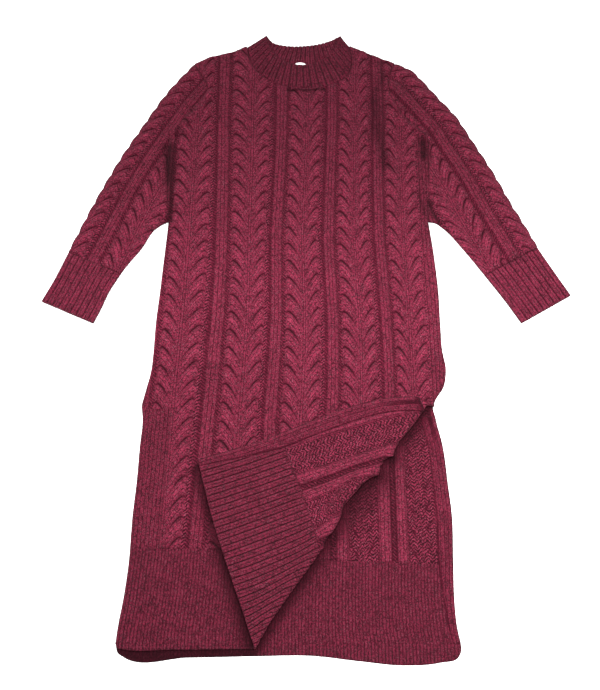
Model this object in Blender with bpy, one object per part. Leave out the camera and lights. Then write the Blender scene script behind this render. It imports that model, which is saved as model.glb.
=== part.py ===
"""A cable-knit midi sweater dress lying flat on its back, with the lower right corner of its front folded over.

Metres, +Z up, the neck towards +Y. Left and right are as seen from above. The origin is on the flat underside,
below the middle cable. Each piece is one closed wall of cloth. Its face that shows carries the cables and ribs,
and its hidden face is plain.
"""

import math

import bpy
import numpy as np
from mathutils import Vector
from mathutils.geometry import delaunay_2d_cdt

# ---- Driving dimensions ----

CLOTH = 0.003  # the knit's wall, between its cables
GAP = 0.0003  # between two pieces at a seam, and between two layers
FINE_STEP = 0.012  # between the points of an outline on the face that shows
PLAIN_STEP = 0.05  # between those of a plain face

CABLE_REPEAT = 0.0317  # from one lobe of a cable to the next
CABLE_PITCH = 0.097  # from one cable's centre to the next, where the cloth lies smooth
CABLE_SHARE = 0.34  # of that pitch, from a cable's centre to its side
CABLE_RISE = 0.027  # how much further up a lobe's outer end is than its inner end
CABLE_HEIGHT = 0.0055
COLUMN_HEIGHT = 0.0018  # the knit columns between the cables
RIB_HEIGHT = 0.0018
HEM_RIBS = 50
CUFF_RIBS = 9  # on the face that shows
CUFF_RIB_HEIGHT = 0.0024
COLLAR_RIBS = 22  # on the front of the neck
WRONG_SIDE_RIDGE = 0.0015  # a gutter of the right side stands up on the wrong side
WRONG_SIDE_LUMP = 0.001  # and so does a cable, a little

ROLL = 0.00465  # radius of the cloth's middle where the corner turns over
CREASE_TOP = (0.202, -0.1077)  # where the folded edge shows, at the slit's top
CREASE_END = (-0.0632, -0.4833)  # and at the hem
SLIT_TOP = -0.118
BAND_WIDTH = 0.024
BAND = 0.0022  # the slit bands' thickness
SIDE_ROUND = 0.006  # how far in from a rounded side the cloth reaches its full height
SIDE_WALL = 0.0008  # the front's wall at its rounded sides
COLLAR_OPEN = 0.0027  # how far the front of the collar's rim stands off the back's
COLLAR_EASE = 0.03  # how far in from its sides it does
LABEL = (-0.010, 0.012, 0.548, 0.578)  # x from, x to, y from, y to
LABEL_THICKNESS = 0.0006
LABEL_STEP = 0.02

BACK_MIDDLE = CLOTH / 2
SPLIT = CLOTH + GAP / 2  # the height between the lower and the upper layer
FRONT_MIDDLE = CLOTH + GAP + CLOTH / 2

# The body's side seams, and its slit edges below SLIT_TOP, as cut. The front's right edge is the folded corner's.
BODY_EDGES = [
    # y, left, front_right, back_right
    (0.232, -0.2305, 0.2250, 0.2250),
    (0.160, -0.2345, 0.2320, 0.2320),
    (0.100, -0.2380, 0.2355, 0.2355),
    (0.040, -0.2420, 0.2355, 0.2355),
    (-0.010, -0.2430, 0.2360, 0.2355),
    (-0.050, -0.2455, 0.2400, 0.2360),
    (-0.080, -0.2515, 0.2420, 0.2310),
    (-0.105, -0.2565, 0.2330, 0.2165),
    (-0.130, -0.2540, 0.2300, 0.2195),
    (-0.177, -0.2558, 0.2350, 0.2285),
    (-0.237, -0.2570, 0.2385, 0.2330),
    (-0.290, -0.2600, 0.2370, 0.2365),
    (-0.350, -0.2607, 0.2340, 0.2345),
    (-0.410, -0.2650, 0.2340, 0.2325),
    (-0.460, -0.2715, 0.2360, 0.2350),
    (-0.478, -0.2728, 0.2370, 0.2385),
]
FRONT_HEM = [
    # x, y, from the left corner to the right one
    (-0.2728, -0.4780),
    (-0.2690, -0.4845),
    (-0.2600, -0.4865),
    (-0.1900, -0.4870),
    (-0.0850, -0.4860),
    (0.0500, -0.4900),
    (0.1400, -0.4895),
    (0.1900, -0.4865),
    (0.2370, -0.4830),
]
BACK_HEM = [
    # x, y
    (-0.2728, -0.4780),
    (-0.2700, -0.4900),
    (-0.2600, -0.4970),
    (-0.1630, -0.4975),
    (-0.0620, -0.4955),
    (0.0160, -0.4950),
    (0.0910, -0.5030),
    (0.1520, -0.5085),
    (0.2050, -0.5050),
    (0.2340, -0.4970),
    (0.2385, -0.4880),
    (0.2385, -0.4780),
]
# The seam between a panel and its hem rib: the ends' levels.
FRONT_RIB_SEAM = {"left_y": -0.338, "right_y": -0.347}
BACK_RIB_SEAM = {"left_y": -0.345, "right_y": -0.363}

LEFT_ARMHOLE = [
    # x, y, from the underarm to the shoulder
    (-0.2305, 0.2320),
    (-0.2350, 0.2950),
    (-0.2380, 0.3790),
    (-0.2360, 0.4100),
    (-0.2180, 0.4390),
    (-0.2050, 0.4650),
    (-0.1860, 0.4850),
    (-0.1740, 0.5020),
    (-0.1730, 0.5190),
    (-0.1860, 0.5440),
    (-0.1990, 0.5690),
]
RIGHT_ARMHOLE = [
    # x, y, from the underarm to the shoulder
    (0.2250, 0.2320),
    (0.2290, 0.3000),
    (0.2320, 0.3680),
    (0.2320, 0.4050),
    (0.2190, 0.4220),
    (0.2020, 0.4390),
    (0.1840, 0.4610),
    (0.1700, 0.4880),
    (0.1650, 0.5140),
    (0.1680, 0.5440),
    (0.1790, 0.5705),
]
LEFT_NECK = (-0.1010, 0.6090)
RIGHT_NECK = (0.0940, 0.6110)
LEFT_SHOULDER = [
    # x, y, from the neck to the armhole
    LEFT_NECK,
    (-0.1300, 0.5960),
    (-0.1650, 0.5860),
    (-0.1990, 0.5690),
]
RIGHT_SHOULDER = [
    # x, y, from the armhole to the neck
    (0.1790, 0.5705),
    (0.1420, 0.5890),
    (0.1150, 0.6010),
    RIGHT_NECK,
]
FRONT_NECKLINE = [
    # x, y
    RIGHT_NECK,
    (0.0980, 0.5670),
    (0.0880, 0.5380),
    (0.0600, 0.5210),
    (0.0000, 0.5140),
    (-0.0400, 0.5210),
    (-0.0720, 0.5420),
    (-0.0910, 0.5680),
    LEFT_NECK,
]
BACK_NECKLINE = [
    # x, y
    RIGHT_NECK,
    (0.0700, 0.5760),
    (0.0000, 0.5600),
    (-0.0700, 0.5740),
    LEFT_NECK,
]
LEFT_EAR = (-0.0640, 0.6380)
RIGHT_EAR = (0.0770, 0.6375)
COLLAR_LEFT = [
    # x, y, from the seam to the rim
    (-0.1005, 0.6096),
    (-0.0860, 0.6200),
    LEFT_EAR,
]
COLLAR_RIGHT = [
    # x, y, from the rim to the seam
    RIGHT_EAR,
    (0.0860, 0.6220),
    (0.0935, 0.6116),
]
FRONT_RIM = [
    # x, y
    LEFT_EAR,
    (-0.0540, 0.6020),
    (-0.0360, 0.5790),
    (-0.0090, 0.5670),
    (0.0200, 0.5670),
    (0.0420, 0.5770),
    (0.0610, 0.5960),
    RIGHT_EAR,
]
BACK_RIM = [
    # x, y
    LEFT_EAR,
    (-0.0520, 0.6200),
    (-0.0250, 0.6120),
    (0.0100, 0.6120),
    (0.0420, 0.6180),
    (0.0640, 0.6270),
    RIGHT_EAR,
]
LEFT_SLEEVE_TOP = [
    # x, y, the outer fold from the shoulder to the cuff
    (-0.1994, 0.5692),
    (-0.2450, 0.5070),
    (-0.2910, 0.4240),
    (-0.3200, 0.3690),
    (-0.3480, 0.3070),
    (-0.3710, 0.2510),
    (-0.3880, 0.2060),
    (-0.4015, 0.1715),
]
LEFT_SLEEVE_UNDER = [
    # x, y, from the cuff to the underarm
    (-0.3080, 0.1290),
    (-0.3010, 0.1410),
    (-0.2740, 0.1800),
    (-0.2520, 0.2180),
    (-0.2400, 0.2270),
    (-0.2309, 0.2316),
]
LEFT_CUFF_TOP = [(-0.4017, 0.1710), (-0.4240, 0.1120), (-0.4390, 0.0790)]
LEFT_CUFF_UNDER = [(-0.3470, 0.0380), (-0.3370, 0.0620), (-0.3240, 0.0980), (-0.3082, 0.1285)]
RIGHT_SLEEVE_TOP = [
    # x, y, the outer fold from the shoulder to the cuff
    (0.1794, 0.5707),
    (0.2080, 0.5550),
    (0.2330, 0.5250),
    (0.2580, 0.4900),
    (0.2850, 0.4540),
    (0.3110, 0.4030),
    (0.3500, 0.3230),
    (0.3720, 0.2700),
    (0.3920, 0.2270),
    (0.4130, 0.1800),
]
RIGHT_SLEEVE_UNDER = [
    # x, y, from the cuff to the underarm
    (0.3170, 0.1270),
    (0.2840, 0.1760),
    (0.2490, 0.2200),
    (0.2380, 0.2290),
    (0.2254, 0.2316),
]
RIGHT_CUFF_TOP = [(0.4133, 0.1795), (0.4430, 0.1230), (0.4610, 0.0900)]
RIGHT_CUFF_UNDER = [(0.3720, 0.0380), (0.3480, 0.0790), (0.3173, 0.1265)]

# The five cables of the front: their centres at two levels. The cloth lies a little bunched at the right.
CHEST, WAIST = 0.216, -0.090
CABLES = [
    # x at CHEST, x at WAIST
    (-0.1940, -0.2050),
    (-0.0905, -0.0980),
    (0.0100, 0.0080),
    (0.1035, 0.0998),
    (0.1800, 0.1833),
]

# Folds that stand up in the upper layer beside the armholes, each a rounded ridge along three points.
RIDGES = [
    # x0, y0, x1, y1, x2, y2, height, half_width
    (-0.1660, 0.5000, -0.1900, 0.4560, -0.2300, 0.4160, 0.0060, 0.013),
    (0.1720, 0.4820, 0.1870, 0.4380, 0.2270, 0.4080, 0.0055, 0.013),
    (-0.2300, 0.3900, -0.2280, 0.3300, -0.2250, 0.2800, 0.0035, 0.010),
]

COLOURS = {
    "burgundy": (0.20, 0.021, 0.047, 1.0),
    "white": (0.80, 0.78, 0.76, 1.0),
}


# ---- Curves and distances ----

ON_LINE = 3e-6  # a point this near to a line counts as on it


def through(points, step):
    """Points about step apart along a smooth curve through the given ones."""
    p = np.array(points, float)
    p = np.vstack([2 * p[0] - p[1], p, 2 * p[-1] - p[-2]])
    out = []
    for before, start, end, after in zip(p, p[1:], p[2:], p[3:]):
        count = max(1, math.ceil(np.linalg.norm(end - start) / step))
        for t in np.arange(count) / count:
            out.append(
                start
                + (end - before) * t / 2
                + (before - 2.5 * start + 2 * end - after / 2) * t**2
                + (after / 2 - before / 2 + 1.5 * (start - end)) * t**3
            )
    return np.vstack([out, p[-2]])


def edge_points(column, top, bottom):
    """A body edge as (x, y) points between two levels, the ends included."""
    y = np.array([row[0] for row in BODY_EDGES])
    x = np.array([row[column] for row in BODY_EDGES])
    inner = [(row[column], row[0]) for row in BODY_EDGES if bottom + 1e-3 < row[0] < top - 1e-3]
    ends = [(float(np.interp(-level, -y, x)), level) for level in (top, bottom)]
    return [ends[0], *inner, ends[1]]


def edge_x(column, y):
    """Where a body edge is at the given levels."""
    levels = -np.array([row[0] for row in BODY_EDGES])
    return np.interp(-np.asarray(y), levels, [row[column] for row in BODY_EDGES])


def nearest(x, y, line):
    """How far each point is from the line, and how far along the line it is."""
    a, b = line[:-1], line[1:]
    d = b - a
    length = np.linalg.norm(d, axis=1)
    start = np.concatenate([[0], np.cumsum(length)[:-1]])
    px, py = np.subtract.outer(x, a[:, 0]), np.subtract.outer(y, a[:, 1])
    t = np.clip((px * d[:, 0] + py * d[:, 1]) / length**2, 0, 1)
    away = np.hypot(px - t * d[:, 0], py - t * d[:, 1])
    best = away.argmin(axis=1)
    row = np.arange(len(best))
    return away[row, best], start[best] + t[row, best] * length[best]


def inside(x, y, outline):
    """Whether each point is inside the closed outline."""
    a, b = outline, np.roll(outline, -1, axis=0)
    crosses = (a[:, 1] > y[:, None]) != (b[:, 1] > y[:, None])
    rise = np.where(a[:, 1] == b[:, 1], 1, b[:, 1] - a[:, 1])
    at = a[:, 0] + (y[:, None] - a[:, 1]) * (b[:, 0] - a[:, 0]) / rise
    return (crosses & (x[:, None] < at)).sum(axis=1) % 2 == 1


def shifted(line, by):
    """The line moved sideways, to its left as it runs where by is above 0."""
    d = np.gradient(line, axis=0)
    d /= np.linalg.norm(d, axis=1)[:, None]
    return line + by * np.column_stack([-d[:, 1], d[:, 0]])


def trimmed(line, by):
    """The line without the stretch of that length at each end."""
    along = np.concatenate([[0], np.cumsum(np.linalg.norm(np.diff(line, axis=0), axis=1))])
    inner = line[(along > by * 1.5) & (along < along[-1] - by * 1.5)]
    ends = [[np.interp(at, along, line[:, k]) for k in (0, 1)] for at in (by, along[-1] - by)]
    return np.vstack([ends[0], inner, ends[1]])


def eased(value, low, high):
    """0 up to low and 1 from high on, with a smooth way between."""
    t = np.clip((value - low) / (high - low), 0, 1)
    return t * t * (3 - 2 * t)


def rounded(distance, width):
    """A quarter circle's height over a side: 0 at the side, and 1 from width on."""
    t = 1 - np.clip((distance - ON_LINE) / width, 0, 1)
    return np.sqrt(1 - t * t)


# ---- Knit relief ----


def pattern_place(x, y):
    """How many cables from the leftmost one a point of the body is: cables lie at 0 to 4."""
    share = (CHEST - y) / (CHEST - WAIST)
    centres = [chest + (waist - chest) * share for chest, waist in CABLES]
    p = (x - centres[0]) / CABLE_PITCH
    for k, (here, after) in enumerate(zip(centres, centres[1:])):
        p = np.where(x > here, k + (x - here) / (after - here), p)
    return np.where(x > centres[-1], len(CABLES) - 1 + (x - centres[-1]) / CABLE_PITCH, p)


def pattern_x(p, y):
    """The x of a pattern place at a level."""
    share = (CHEST - y) / (CHEST - WAIST)
    centres = np.array([chest + (waist - chest) * share for chest, waist in CABLES])
    if p <= 0:
        return centres[0] + p * CABLE_PITCH
    if p >= len(CABLES) - 1:
        return centres[-1] + (p - len(CABLES) + 1) * CABLE_PITCH
    return float(np.interp(p, np.arange(len(CABLES)), centres))


def lobe_phase(q, along):
    """How far through its repeat a point of a cable is. Each repeat is one pair of lobes in a V."""
    return (along - CABLE_RISE * np.abs(q)) / CABLE_REPEAT % 1


def knit_height(p, along):
    """The right side's relief: lobed cables at whole numbers of p, and knit columns half-way between."""
    q = (p - np.round(p)) / CABLE_SHARE
    lobe = np.sqrt(np.clip(1 - (2 * lobe_phase(q, along) - 1) ** 2, 0, 1))
    across = np.interp(np.abs(q), [0, 0.45, 0.8, 1], [0.65, 1, 0.85, 0])
    cable = CABLE_HEIGHT * across * (0.25 + 0.75 * lobe)
    from_column = np.abs(p - np.floor(p) - 0.5)
    column = COLUMN_HEIGHT * np.interp(from_column, [0, 0.06, 0.10, 0.13, 0.16], [0.8, 1, 0.6, -0.5, 0])
    return np.where(np.abs(q) < 1, cable, column)


def wrong_side_height(p, along):
    """The wrong side's relief: the gutters stand up as narrow ridges, and the cables as low lumps."""
    q = (p - np.round(p)) / CABLE_SHARE
    lobe = np.sin(math.pi * lobe_phase(q, along))
    lump = WRONG_SIDE_LUMP * lobe * np.interp(np.abs(q), [0, 0.5, 0.9, 1], [0.4, 1, 0.2, 0])
    from_column = np.abs(p - np.floor(p) - 0.5)
    ridge = WRONG_SIDE_RIDGE * np.interp(from_column, [0, 0.07, 0.10, 0.145, 0.16], [-0.4, -0.3, 1, 1, 0])
    return np.where(np.abs(q) < 1, lump, ridge)


def rib_height(phase, height):
    """A rib's relief, one rib for each whole number of phase."""
    return height * np.interp(phase % 1, [0, 0.3, 0.7, 1], [-0.3, 1, 1, -0.3])


RIB_STATIONS = (0, 0.3, 0.7)


def hem_phase(x, y, column):
    """The number of ribs from the left edge of a hem to each point."""
    left, right = edge_x(1, y), edge_x(column, y)
    return (x - left) / (right - left) * HEM_RIBS


# ---- The folded corner ----

crease = np.array(CREASE_END) - np.array(CREASE_TOP)
crease /= np.linalg.norm(crease)
OUTWARD = np.array([-crease[1], crease[0]])  # in the cut, from the crease towards the folded corner
ROLL_START = np.array(CREASE_TOP) - OUTWARD * (ROLL + CLOTH / 2)


def past_crease(x, y):
    """How far past the start of the roll a point of the cut lies."""
    return (x - ROLL_START[0]) * OUTWARD[0] + (y - ROLL_START[1]) * OUTWARD[1]


def lift(x, y):
    """How far the ridges beside the armholes raise the upper layer."""
    up = np.zeros(len(x))
    for x0, y0, x1, y1, x2, y2, height, half_width in RIDGES:
        line = through([(x0, y0), (x1, y1), (x2, y2)], 0.01)
        away, _ = nearest(x, y, line)
        up = np.maximum(up, height * np.cos(np.clip(away / half_width, 0, 1) * math.pi / 2) ** 2)
    return up


def ridge_lines():
    """Lines along each ridge's crest and flanks."""
    lines = []
    for x0, y0, x1, y1, x2, y2, _, half_width in RIDGES:
        crest = through([(x0, y0), (x1, y1), (x2, y2)], 0.02)
        lines += [shifted(crest, by * half_width) for by in (-1, -0.5, 0, 0.5, 1)]
    return lines


def place_front(x, y, h):
    """Where a point of the front lies: x and y in the flat cut, and h above the cloth's middle, to its right side."""
    past = past_crease(x, y)
    turn = np.clip(past / ROLL, 0, math.pi)
    out = np.where(past > 0, (ROLL - h) * np.sin(turn) - np.maximum(past - math.pi * ROLL, 0), past)
    z = FRONT_MIDDLE + lift(x, y) + np.where(past > 0, ROLL - (ROLL - h) * np.cos(turn), h)
    return np.column_stack([x + (out - past) * OUTWARD[0], y + (out - past) * OUTWARD[1], z])


def cover_depth(x, y):
    """How far inside the folded corner's outline a point of the front lies that is under it, below 0 outside."""
    past = past_crease(x, y)
    over = math.pi * ROLL - 2 * past
    mx, my = x + over * OUTWARD[0], y + over * OUTWARD[1]
    hem = np.array(FRONT_HEM)
    return np.minimum(edge_x(2, my) - mx, my - np.interp(mx, hem[:, 0], hem[:, 1]))


def shows_on_front(x, y):
    """1 where the front's right side shows, and 0 under the folded corner and past the crease."""
    return (1 - eased(cover_depth(x, y), 0.008, 0.016)) * (1 - eased(past_crease(x, y), -0.012, -0.004))


def shows_on_back(x, y):
    """1 where the back's inside shows, past the folded edge."""
    return eased(past_crease(x, y) - ROLL - CLOTH / 2, 0.003, 0.011)


def crease_lines():
    """Lines along the roll, in the flat cut, long enough to cross the whole front."""
    lines = []
    for share in np.linspace(0, 1, 7):
        start = ROLL_START + OUTWARD * share * math.pi * ROLL
        lines.append(np.array([start - 0.2 * crease, start + 0.6 * crease]))
    return lines


# ---- Meshes ----


def triangulate(outline, lines):
    """Triangles over a flat outline, with edges along the lines: points, faces, and the rim's points in order."""
    index, points, edges = {}, [], []

    def add(p):
        key = (round(float(p[0]), 6), round(float(p[1]), 6))
        if key not in index:
            index[key] = len(points)
            points.append(Vector(key))
        return index[key]

    rim = [add(p) for p in outline]
    edges += zip(rim, rim[1:] + rim[:1])
    for line in lines:
        ids = [add(p) for p in line]
        edges += [(a, b) for a, b in zip(ids, ids[1:]) if a != b]
    found = delaunay_2d_cdt(points, edges, [], 0, 1e-6)
    flat = np.array([tuple(p) for p in found[0]], float)
    faces = np.array(found[2], int)
    middle = flat[faces].mean(axis=1)
    faces = faces[inside(middle[:, 0], middle[:, 1], np.array(outline))]
    used, faces = np.unique(faces, return_inverse=True)
    flat, faces = flat[used], faces.reshape(-1, 3)
    return flat, faces, rim_of(faces)


def rim_of(faces):
    """The boundary of a surface as one ring of point numbers."""
    ends = np.concatenate([faces[:, [0, 1]], faces[:, [1, 2]], faces[:, [2, 0]]])
    pairs = {tuple(pair) for pair in ends}
    after = {a: b for a, b in pairs if (b, a) not in pairs}
    start = min(after)
    ring = [start]
    while after[ring[-1]] != start:
        ring.append(after[ring[-1]])
    if len(ring) != len(after):
        raise ValueError("the outline has more than one rim")
    return ring


def zipped(ring_a, at_a, ring_b, at_b):
    """Triangles between two rows of points whose places along the same line are at_a and at_b."""
    faces, i, j = [], 0, 0
    while i < len(ring_a) - 1 or j < len(ring_b) - 1:
        step_a = i < len(ring_a) - 1 and (j == len(ring_b) - 1 or at_a[i + 1] <= at_b[j + 1])
        if step_a:
            faces.append((ring_a[i], ring_a[i + 1], ring_b[j]))
            i += 1
        else:
            faces.append((ring_a[i], ring_b[j + 1], ring_b[j]))
            j += 1
    return faces


def stretch(flat, ring, start, end, line):
    """The part of a rim from one corner to another, with each point's place along the line between them."""
    ring = list(ring)
    first = min(range(len(ring)), key=lambda i: np.linalg.norm(flat[ring[i]] - start))
    ring = ring[first:] + ring[:first]
    last = min(range(len(ring)), key=lambda i: np.linalg.norm(flat[ring[i]] - end))
    part = ring[: last + 1] if last else [*ring, ring[0]]
    _, at = nearest(flat[part, 0], flat[part, 1], line)
    at[0], at[-1] = 0.0, np.linalg.norm(np.diff(line, axis=0), axis=1).sum()
    return part, at


def material(name):
    """The named colour as a matt Principled material."""
    found = bpy.data.materials.get(name) or bpy.data.materials.new(name)
    found.use_nodes = True
    shader = found.node_tree.nodes["Principled BSDF"]
    shader.inputs["Base Color"].default_value = COLOURS[name]
    shader.inputs["Roughness"].default_value = 0.9
    return found


def add_piece(name, points, faces, colour="burgundy"):
    """One closed piece as a named object: points that share a place made one, and every face turned outwards."""
    points = np.array(points)
    _, keep, number = np.unique(np.round(points / 2e-6), axis=0, return_index=True, return_inverse=True)
    number = number.reshape(-1)
    faces = [tuple(int(number[i]) for i in face) for face in faces]
    faces = turned_alike([face for face in faces if len(set(face)) == 3])
    points = points[keep]
    mesh = bpy.data.meshes.new(name)
    mesh.from_pydata([tuple(p) for p in points], [], faces)
    if np.linalg.det(points[np.array(faces)]).sum() < 0:
        mesh.flip_normals()
    mesh.materials.append(material(colour))
    mesh.shade_smooth()
    mesh.set_sharp_from_angle(angle=math.radians(50))
    bpy.context.scene.collection.objects.link(bpy.data.objects.new(name, mesh))


def turned_alike(faces):
    """The faces with neighbours facing the same way."""
    by_edge = {}
    for n, face in enumerate(faces):
        for a, b in zip(face, face[1:] + face[:1]):
            by_edge.setdefault((min(a, b), max(a, b)), []).append(n)
    out = list(faces)
    done, waiting = {0}, [0]
    while waiting:
        face = out[waiting.pop()]
        for a, b in zip(face, face[1:] + face[:1]):
            for m in by_edge[(min(a, b), max(a, b))]:
                if m in done:
                    continue
                other = out[m]
                if (a, b) in zip(other, other[1:] + other[:1]):
                    out[m] = other[::-1]
                done.add(m)
                waiting.append(m)
    return out


def cloth_panel(name, sides, upper, lower, upper_lines=(), lower_lines=(), colour="burgundy"):
    """A wall of cloth between two faces over one outline. sides are its edges as (fine, plain) rows of points
    that share their ends, anticlockwise; upper and lower turn flat points into places."""
    flat_up, faces_up, rim_up = triangulate(np.vstack([fine[:-1] for fine, _ in sides]), upper_lines)
    flat_low, faces_low, rim_low = triangulate(np.vstack([plain[:-1] for _, plain in sides]), lower_lines)
    count = len(flat_up)
    faces = [*faces_up, *(faces_low + count)]
    for fine, _ in sides:
        top, at_top = stretch(flat_up, rim_up, fine[0], fine[-1], fine)
        low, at_low = stretch(flat_low, rim_low, fine[0], fine[-1], fine)
        faces += zipped(top, at_top, [i + count for i in low], at_low)
    add_piece(name, np.vstack([upper(*flat_up.T), lower(*flat_low.T)]), faces, colour)


def flat_tube(name, left, right, ends, heights, lines):
    """A flattened tube of cloth. left runs from its first open end to its second, and right runs back: both are
    folded sides. ends gives each layer's second end, from left to right, and its first end, from right to left.
    heights turns flat points into heights, and lines are edges, on the outer and inner face of each layer."""
    points, faces, rims = [], [], {}

    def add_skin(key, left_side, far, right_side, near):
        outline = np.vstack([side[:-1] for side in (left_side, far, right_side, near)])
        flat, found, rim = triangulate(outline, lines.get(key, ()))
        first = len(points)
        points.extend(np.column_stack([flat, heights[key](*flat.T)]))
        faces.extend(found + first)
        for side, line in zip(("left", "far", "right", "near"), (left_side, far, right_side, near)):
            part, at = stretch(flat, rim, line[0], line[-1], line)
            rims[key, side] = [i + first for i in part], at

    for layer in ("top", "low"):
        far, near = ends[layer]
        far_in, near_in = trimmed(far, CLOTH), trimmed(near, CLOTH)
        left_in = np.vstack([near_in[-1], shifted(left, CLOTH)[1:-1], far_in[0]])
        right_in = np.vstack([far_in[-1], shifted(right, CLOTH)[1:-1], near_in[0]])
        add_skin(layer, left, far, right, near)
        add_skin(layer + "_in", left_in, far_in, right_in, near_in)
        for end in ("far", "near"):
            outer, at_outer = rims[layer, end]
            inner, at_inner = rims[layer + "_in", end]
            faces.extend(zipped(outer, at_outer, inner, at_inner + CLOTH))
    for side in ("left", "right"):
        top, at_top = rims["top_in", side]
        low, at_low = rims["low_in", side]
        faces.extend(zipped(top, at_top / at_top[-1], low, at_low / at_low[-1]))
    for end in ("far", "near"):
        for corner in (0, -1):
            faces.append([rims[key, end][0][corner] for key in ("top", "top_in", "low_in")])
    add_piece(name, points, faces)


def clipped(line, keep, every):
    """The stretches of a finely spaced line where keep holds, with their ends and every so many points."""
    kept = keep(*line.T)
    runs, run = [], []
    for ok, point in zip([*kept, False], [*line, None]):
        if ok:
            run.append(point)
            continue
        if len(run) > 1:
            runs.append(np.array([*run[:-1:every], run[-1]]))
        run = []
    return runs


# ---- Lines that the relief needs ----

LOBE_SAMPLES = (0, 0.5)  # of a repeat
CABLE_STATIONS = (-1, -0.65, 0, 0.65, 1)  # of a cable's half width
COLUMN_STATIONS = (-0.13, -0.06, 0.06, 0.13)  # of the pitch, from a column's middle
RIDGE_STATIONS = (-0.16, -0.12, -0.07, 0.07, 0.12, 0.16)

RIB_PLACES = (-0.05, 0.05, 1.05)  # along a rib, so that its lines cross both ends of the piece


def cable_lines(to_xy, cable, bottom, top, keep, stations=CABLE_STATIONS):
    """Edges along each lobe of one cable. to_xy turns a pattern place and a length along it into a flat point."""
    lines = []
    for repeat in range(math.floor(bottom / CABLE_REPEAT), math.ceil(top / CABLE_REPEAT)):
        for sample in LOBE_SAMPLES:
            lobe = [
                to_xy(cable + q * CABLE_SHARE, (repeat + sample) * CABLE_REPEAT + CABLE_RISE * abs(q))
                for q in stations
            ]
            lines += clipped(np.array(lobe), keep, 1)
    return lines


def column_lines(to_xy, middle, bottom, top, keep, stations=COLUMN_STATIONS):
    """Edges along one knit column between two cables."""
    lines = []
    for station in stations:
        line = [to_xy(middle + station, along) for along in np.arange(bottom, top, 0.004)]
        lines += clipped(np.array(line), keep, 12)
    return lines


def rib_lines(left, right, ribs):
    """Edges along ribs between two sides, which are functions of how far along the ribs a point is."""
    lines = []
    for rib in ribs:
        for station in RIB_STATIONS:
            share = (rib + station) / ribs.stop
            lines.append(np.array([left(t) + (right(t) - left(t)) * share for t in RIB_PLACES]))
    return lines


# ---- The pieces ----


def body_point(p, along):
    return pattern_x(p, along), along


def straight(start, end, step):
    """Evenly spaced points from start to end."""
    return through([start, end], step)


def body_sides(right_column, seam, neckline):
    """The edges of a body panel above its hem rib, as (fine, plain) rows of points."""
    low_left = (float(edge_x(1, seam["left_y"])), seam["left_y"] + GAP)
    low_right = (float(edge_x(right_column, seam["right_y"])), seam["right_y"] + GAP)
    left = [*edge_points(1, BODY_EDGES[0][0], low_left[1])[:-1], low_left]
    right = [*edge_points(right_column, BODY_EDGES[0][0], low_right[1])[:-1], low_right][::-1]
    sides = [(through(line, FINE_STEP), through(line, PLAIN_STEP)) for line in (left, right)]
    seams = [(through(line, FINE_STEP / 1.5),) * 2 for line in (RIGHT_ARMHOLE, neckline, LEFT_ARMHOLE[::-1])]
    shoulders = [(through(line, FINE_STEP), through(line, PLAIN_STEP)) for line in (RIGHT_SHOULDER, LEFT_SHOULDER)]
    hem = straight(low_left, low_right, FINE_STEP), straight(low_left, low_right, PLAIN_STEP)
    return [sides[0], hem, sides[1], seams[0], shoulders[0], seams[1], shoulders[1], seams[2]]


def in_cloth(sides, margin):
    """A test for flat points that lie inside the outline by a margin."""
    outline = np.vstack([*(fine[:-1] for fine, _ in sides), sides[0][0][:1]])

    def test(x, y):
        x, y = np.asarray(x, float), np.asarray(y, float)
        away, _ = nearest(x, y, outline)
        return inside(x, y, outline) & (away > margin)

    return test


def seam_fade(x, y, seams, width=0.006):
    """0 at a seam, and 1 from a width away."""
    away = np.min([nearest(x, y, line)[0] for line in seams], axis=0)
    return rounded(away, width)


BESIDE_BAND = (0.0005, 0.0035)  # how far from the band the relief starts and is whole


def beside_band(x, y, column):
    """1 clear of the slit band, and 0 under it."""
    return eased(edge_x(column, y) - x, *(BAND_WIDTH + by for by in BESIDE_BAND))


def band_lines(column):
    """Lines beside the slit band, where the relief ends."""
    edge = np.array(edge_points(column, SLIT_TOP + BAND_WIDTH, BODY_EDGES[-1][0] - BAND_WIDTH))
    return [edge - (BAND_WIDTH + by, 0) for by in BESIDE_BAND]


def half_cable_only(p, y):
    """1 where the knit pattern runs, and 0 on the plain strip left of the first cable's middle beside the slit."""
    return 1 - (1 - eased(p, -0.03, 0.0)) * (1 - eased(y, -0.125, -0.105))


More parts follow.
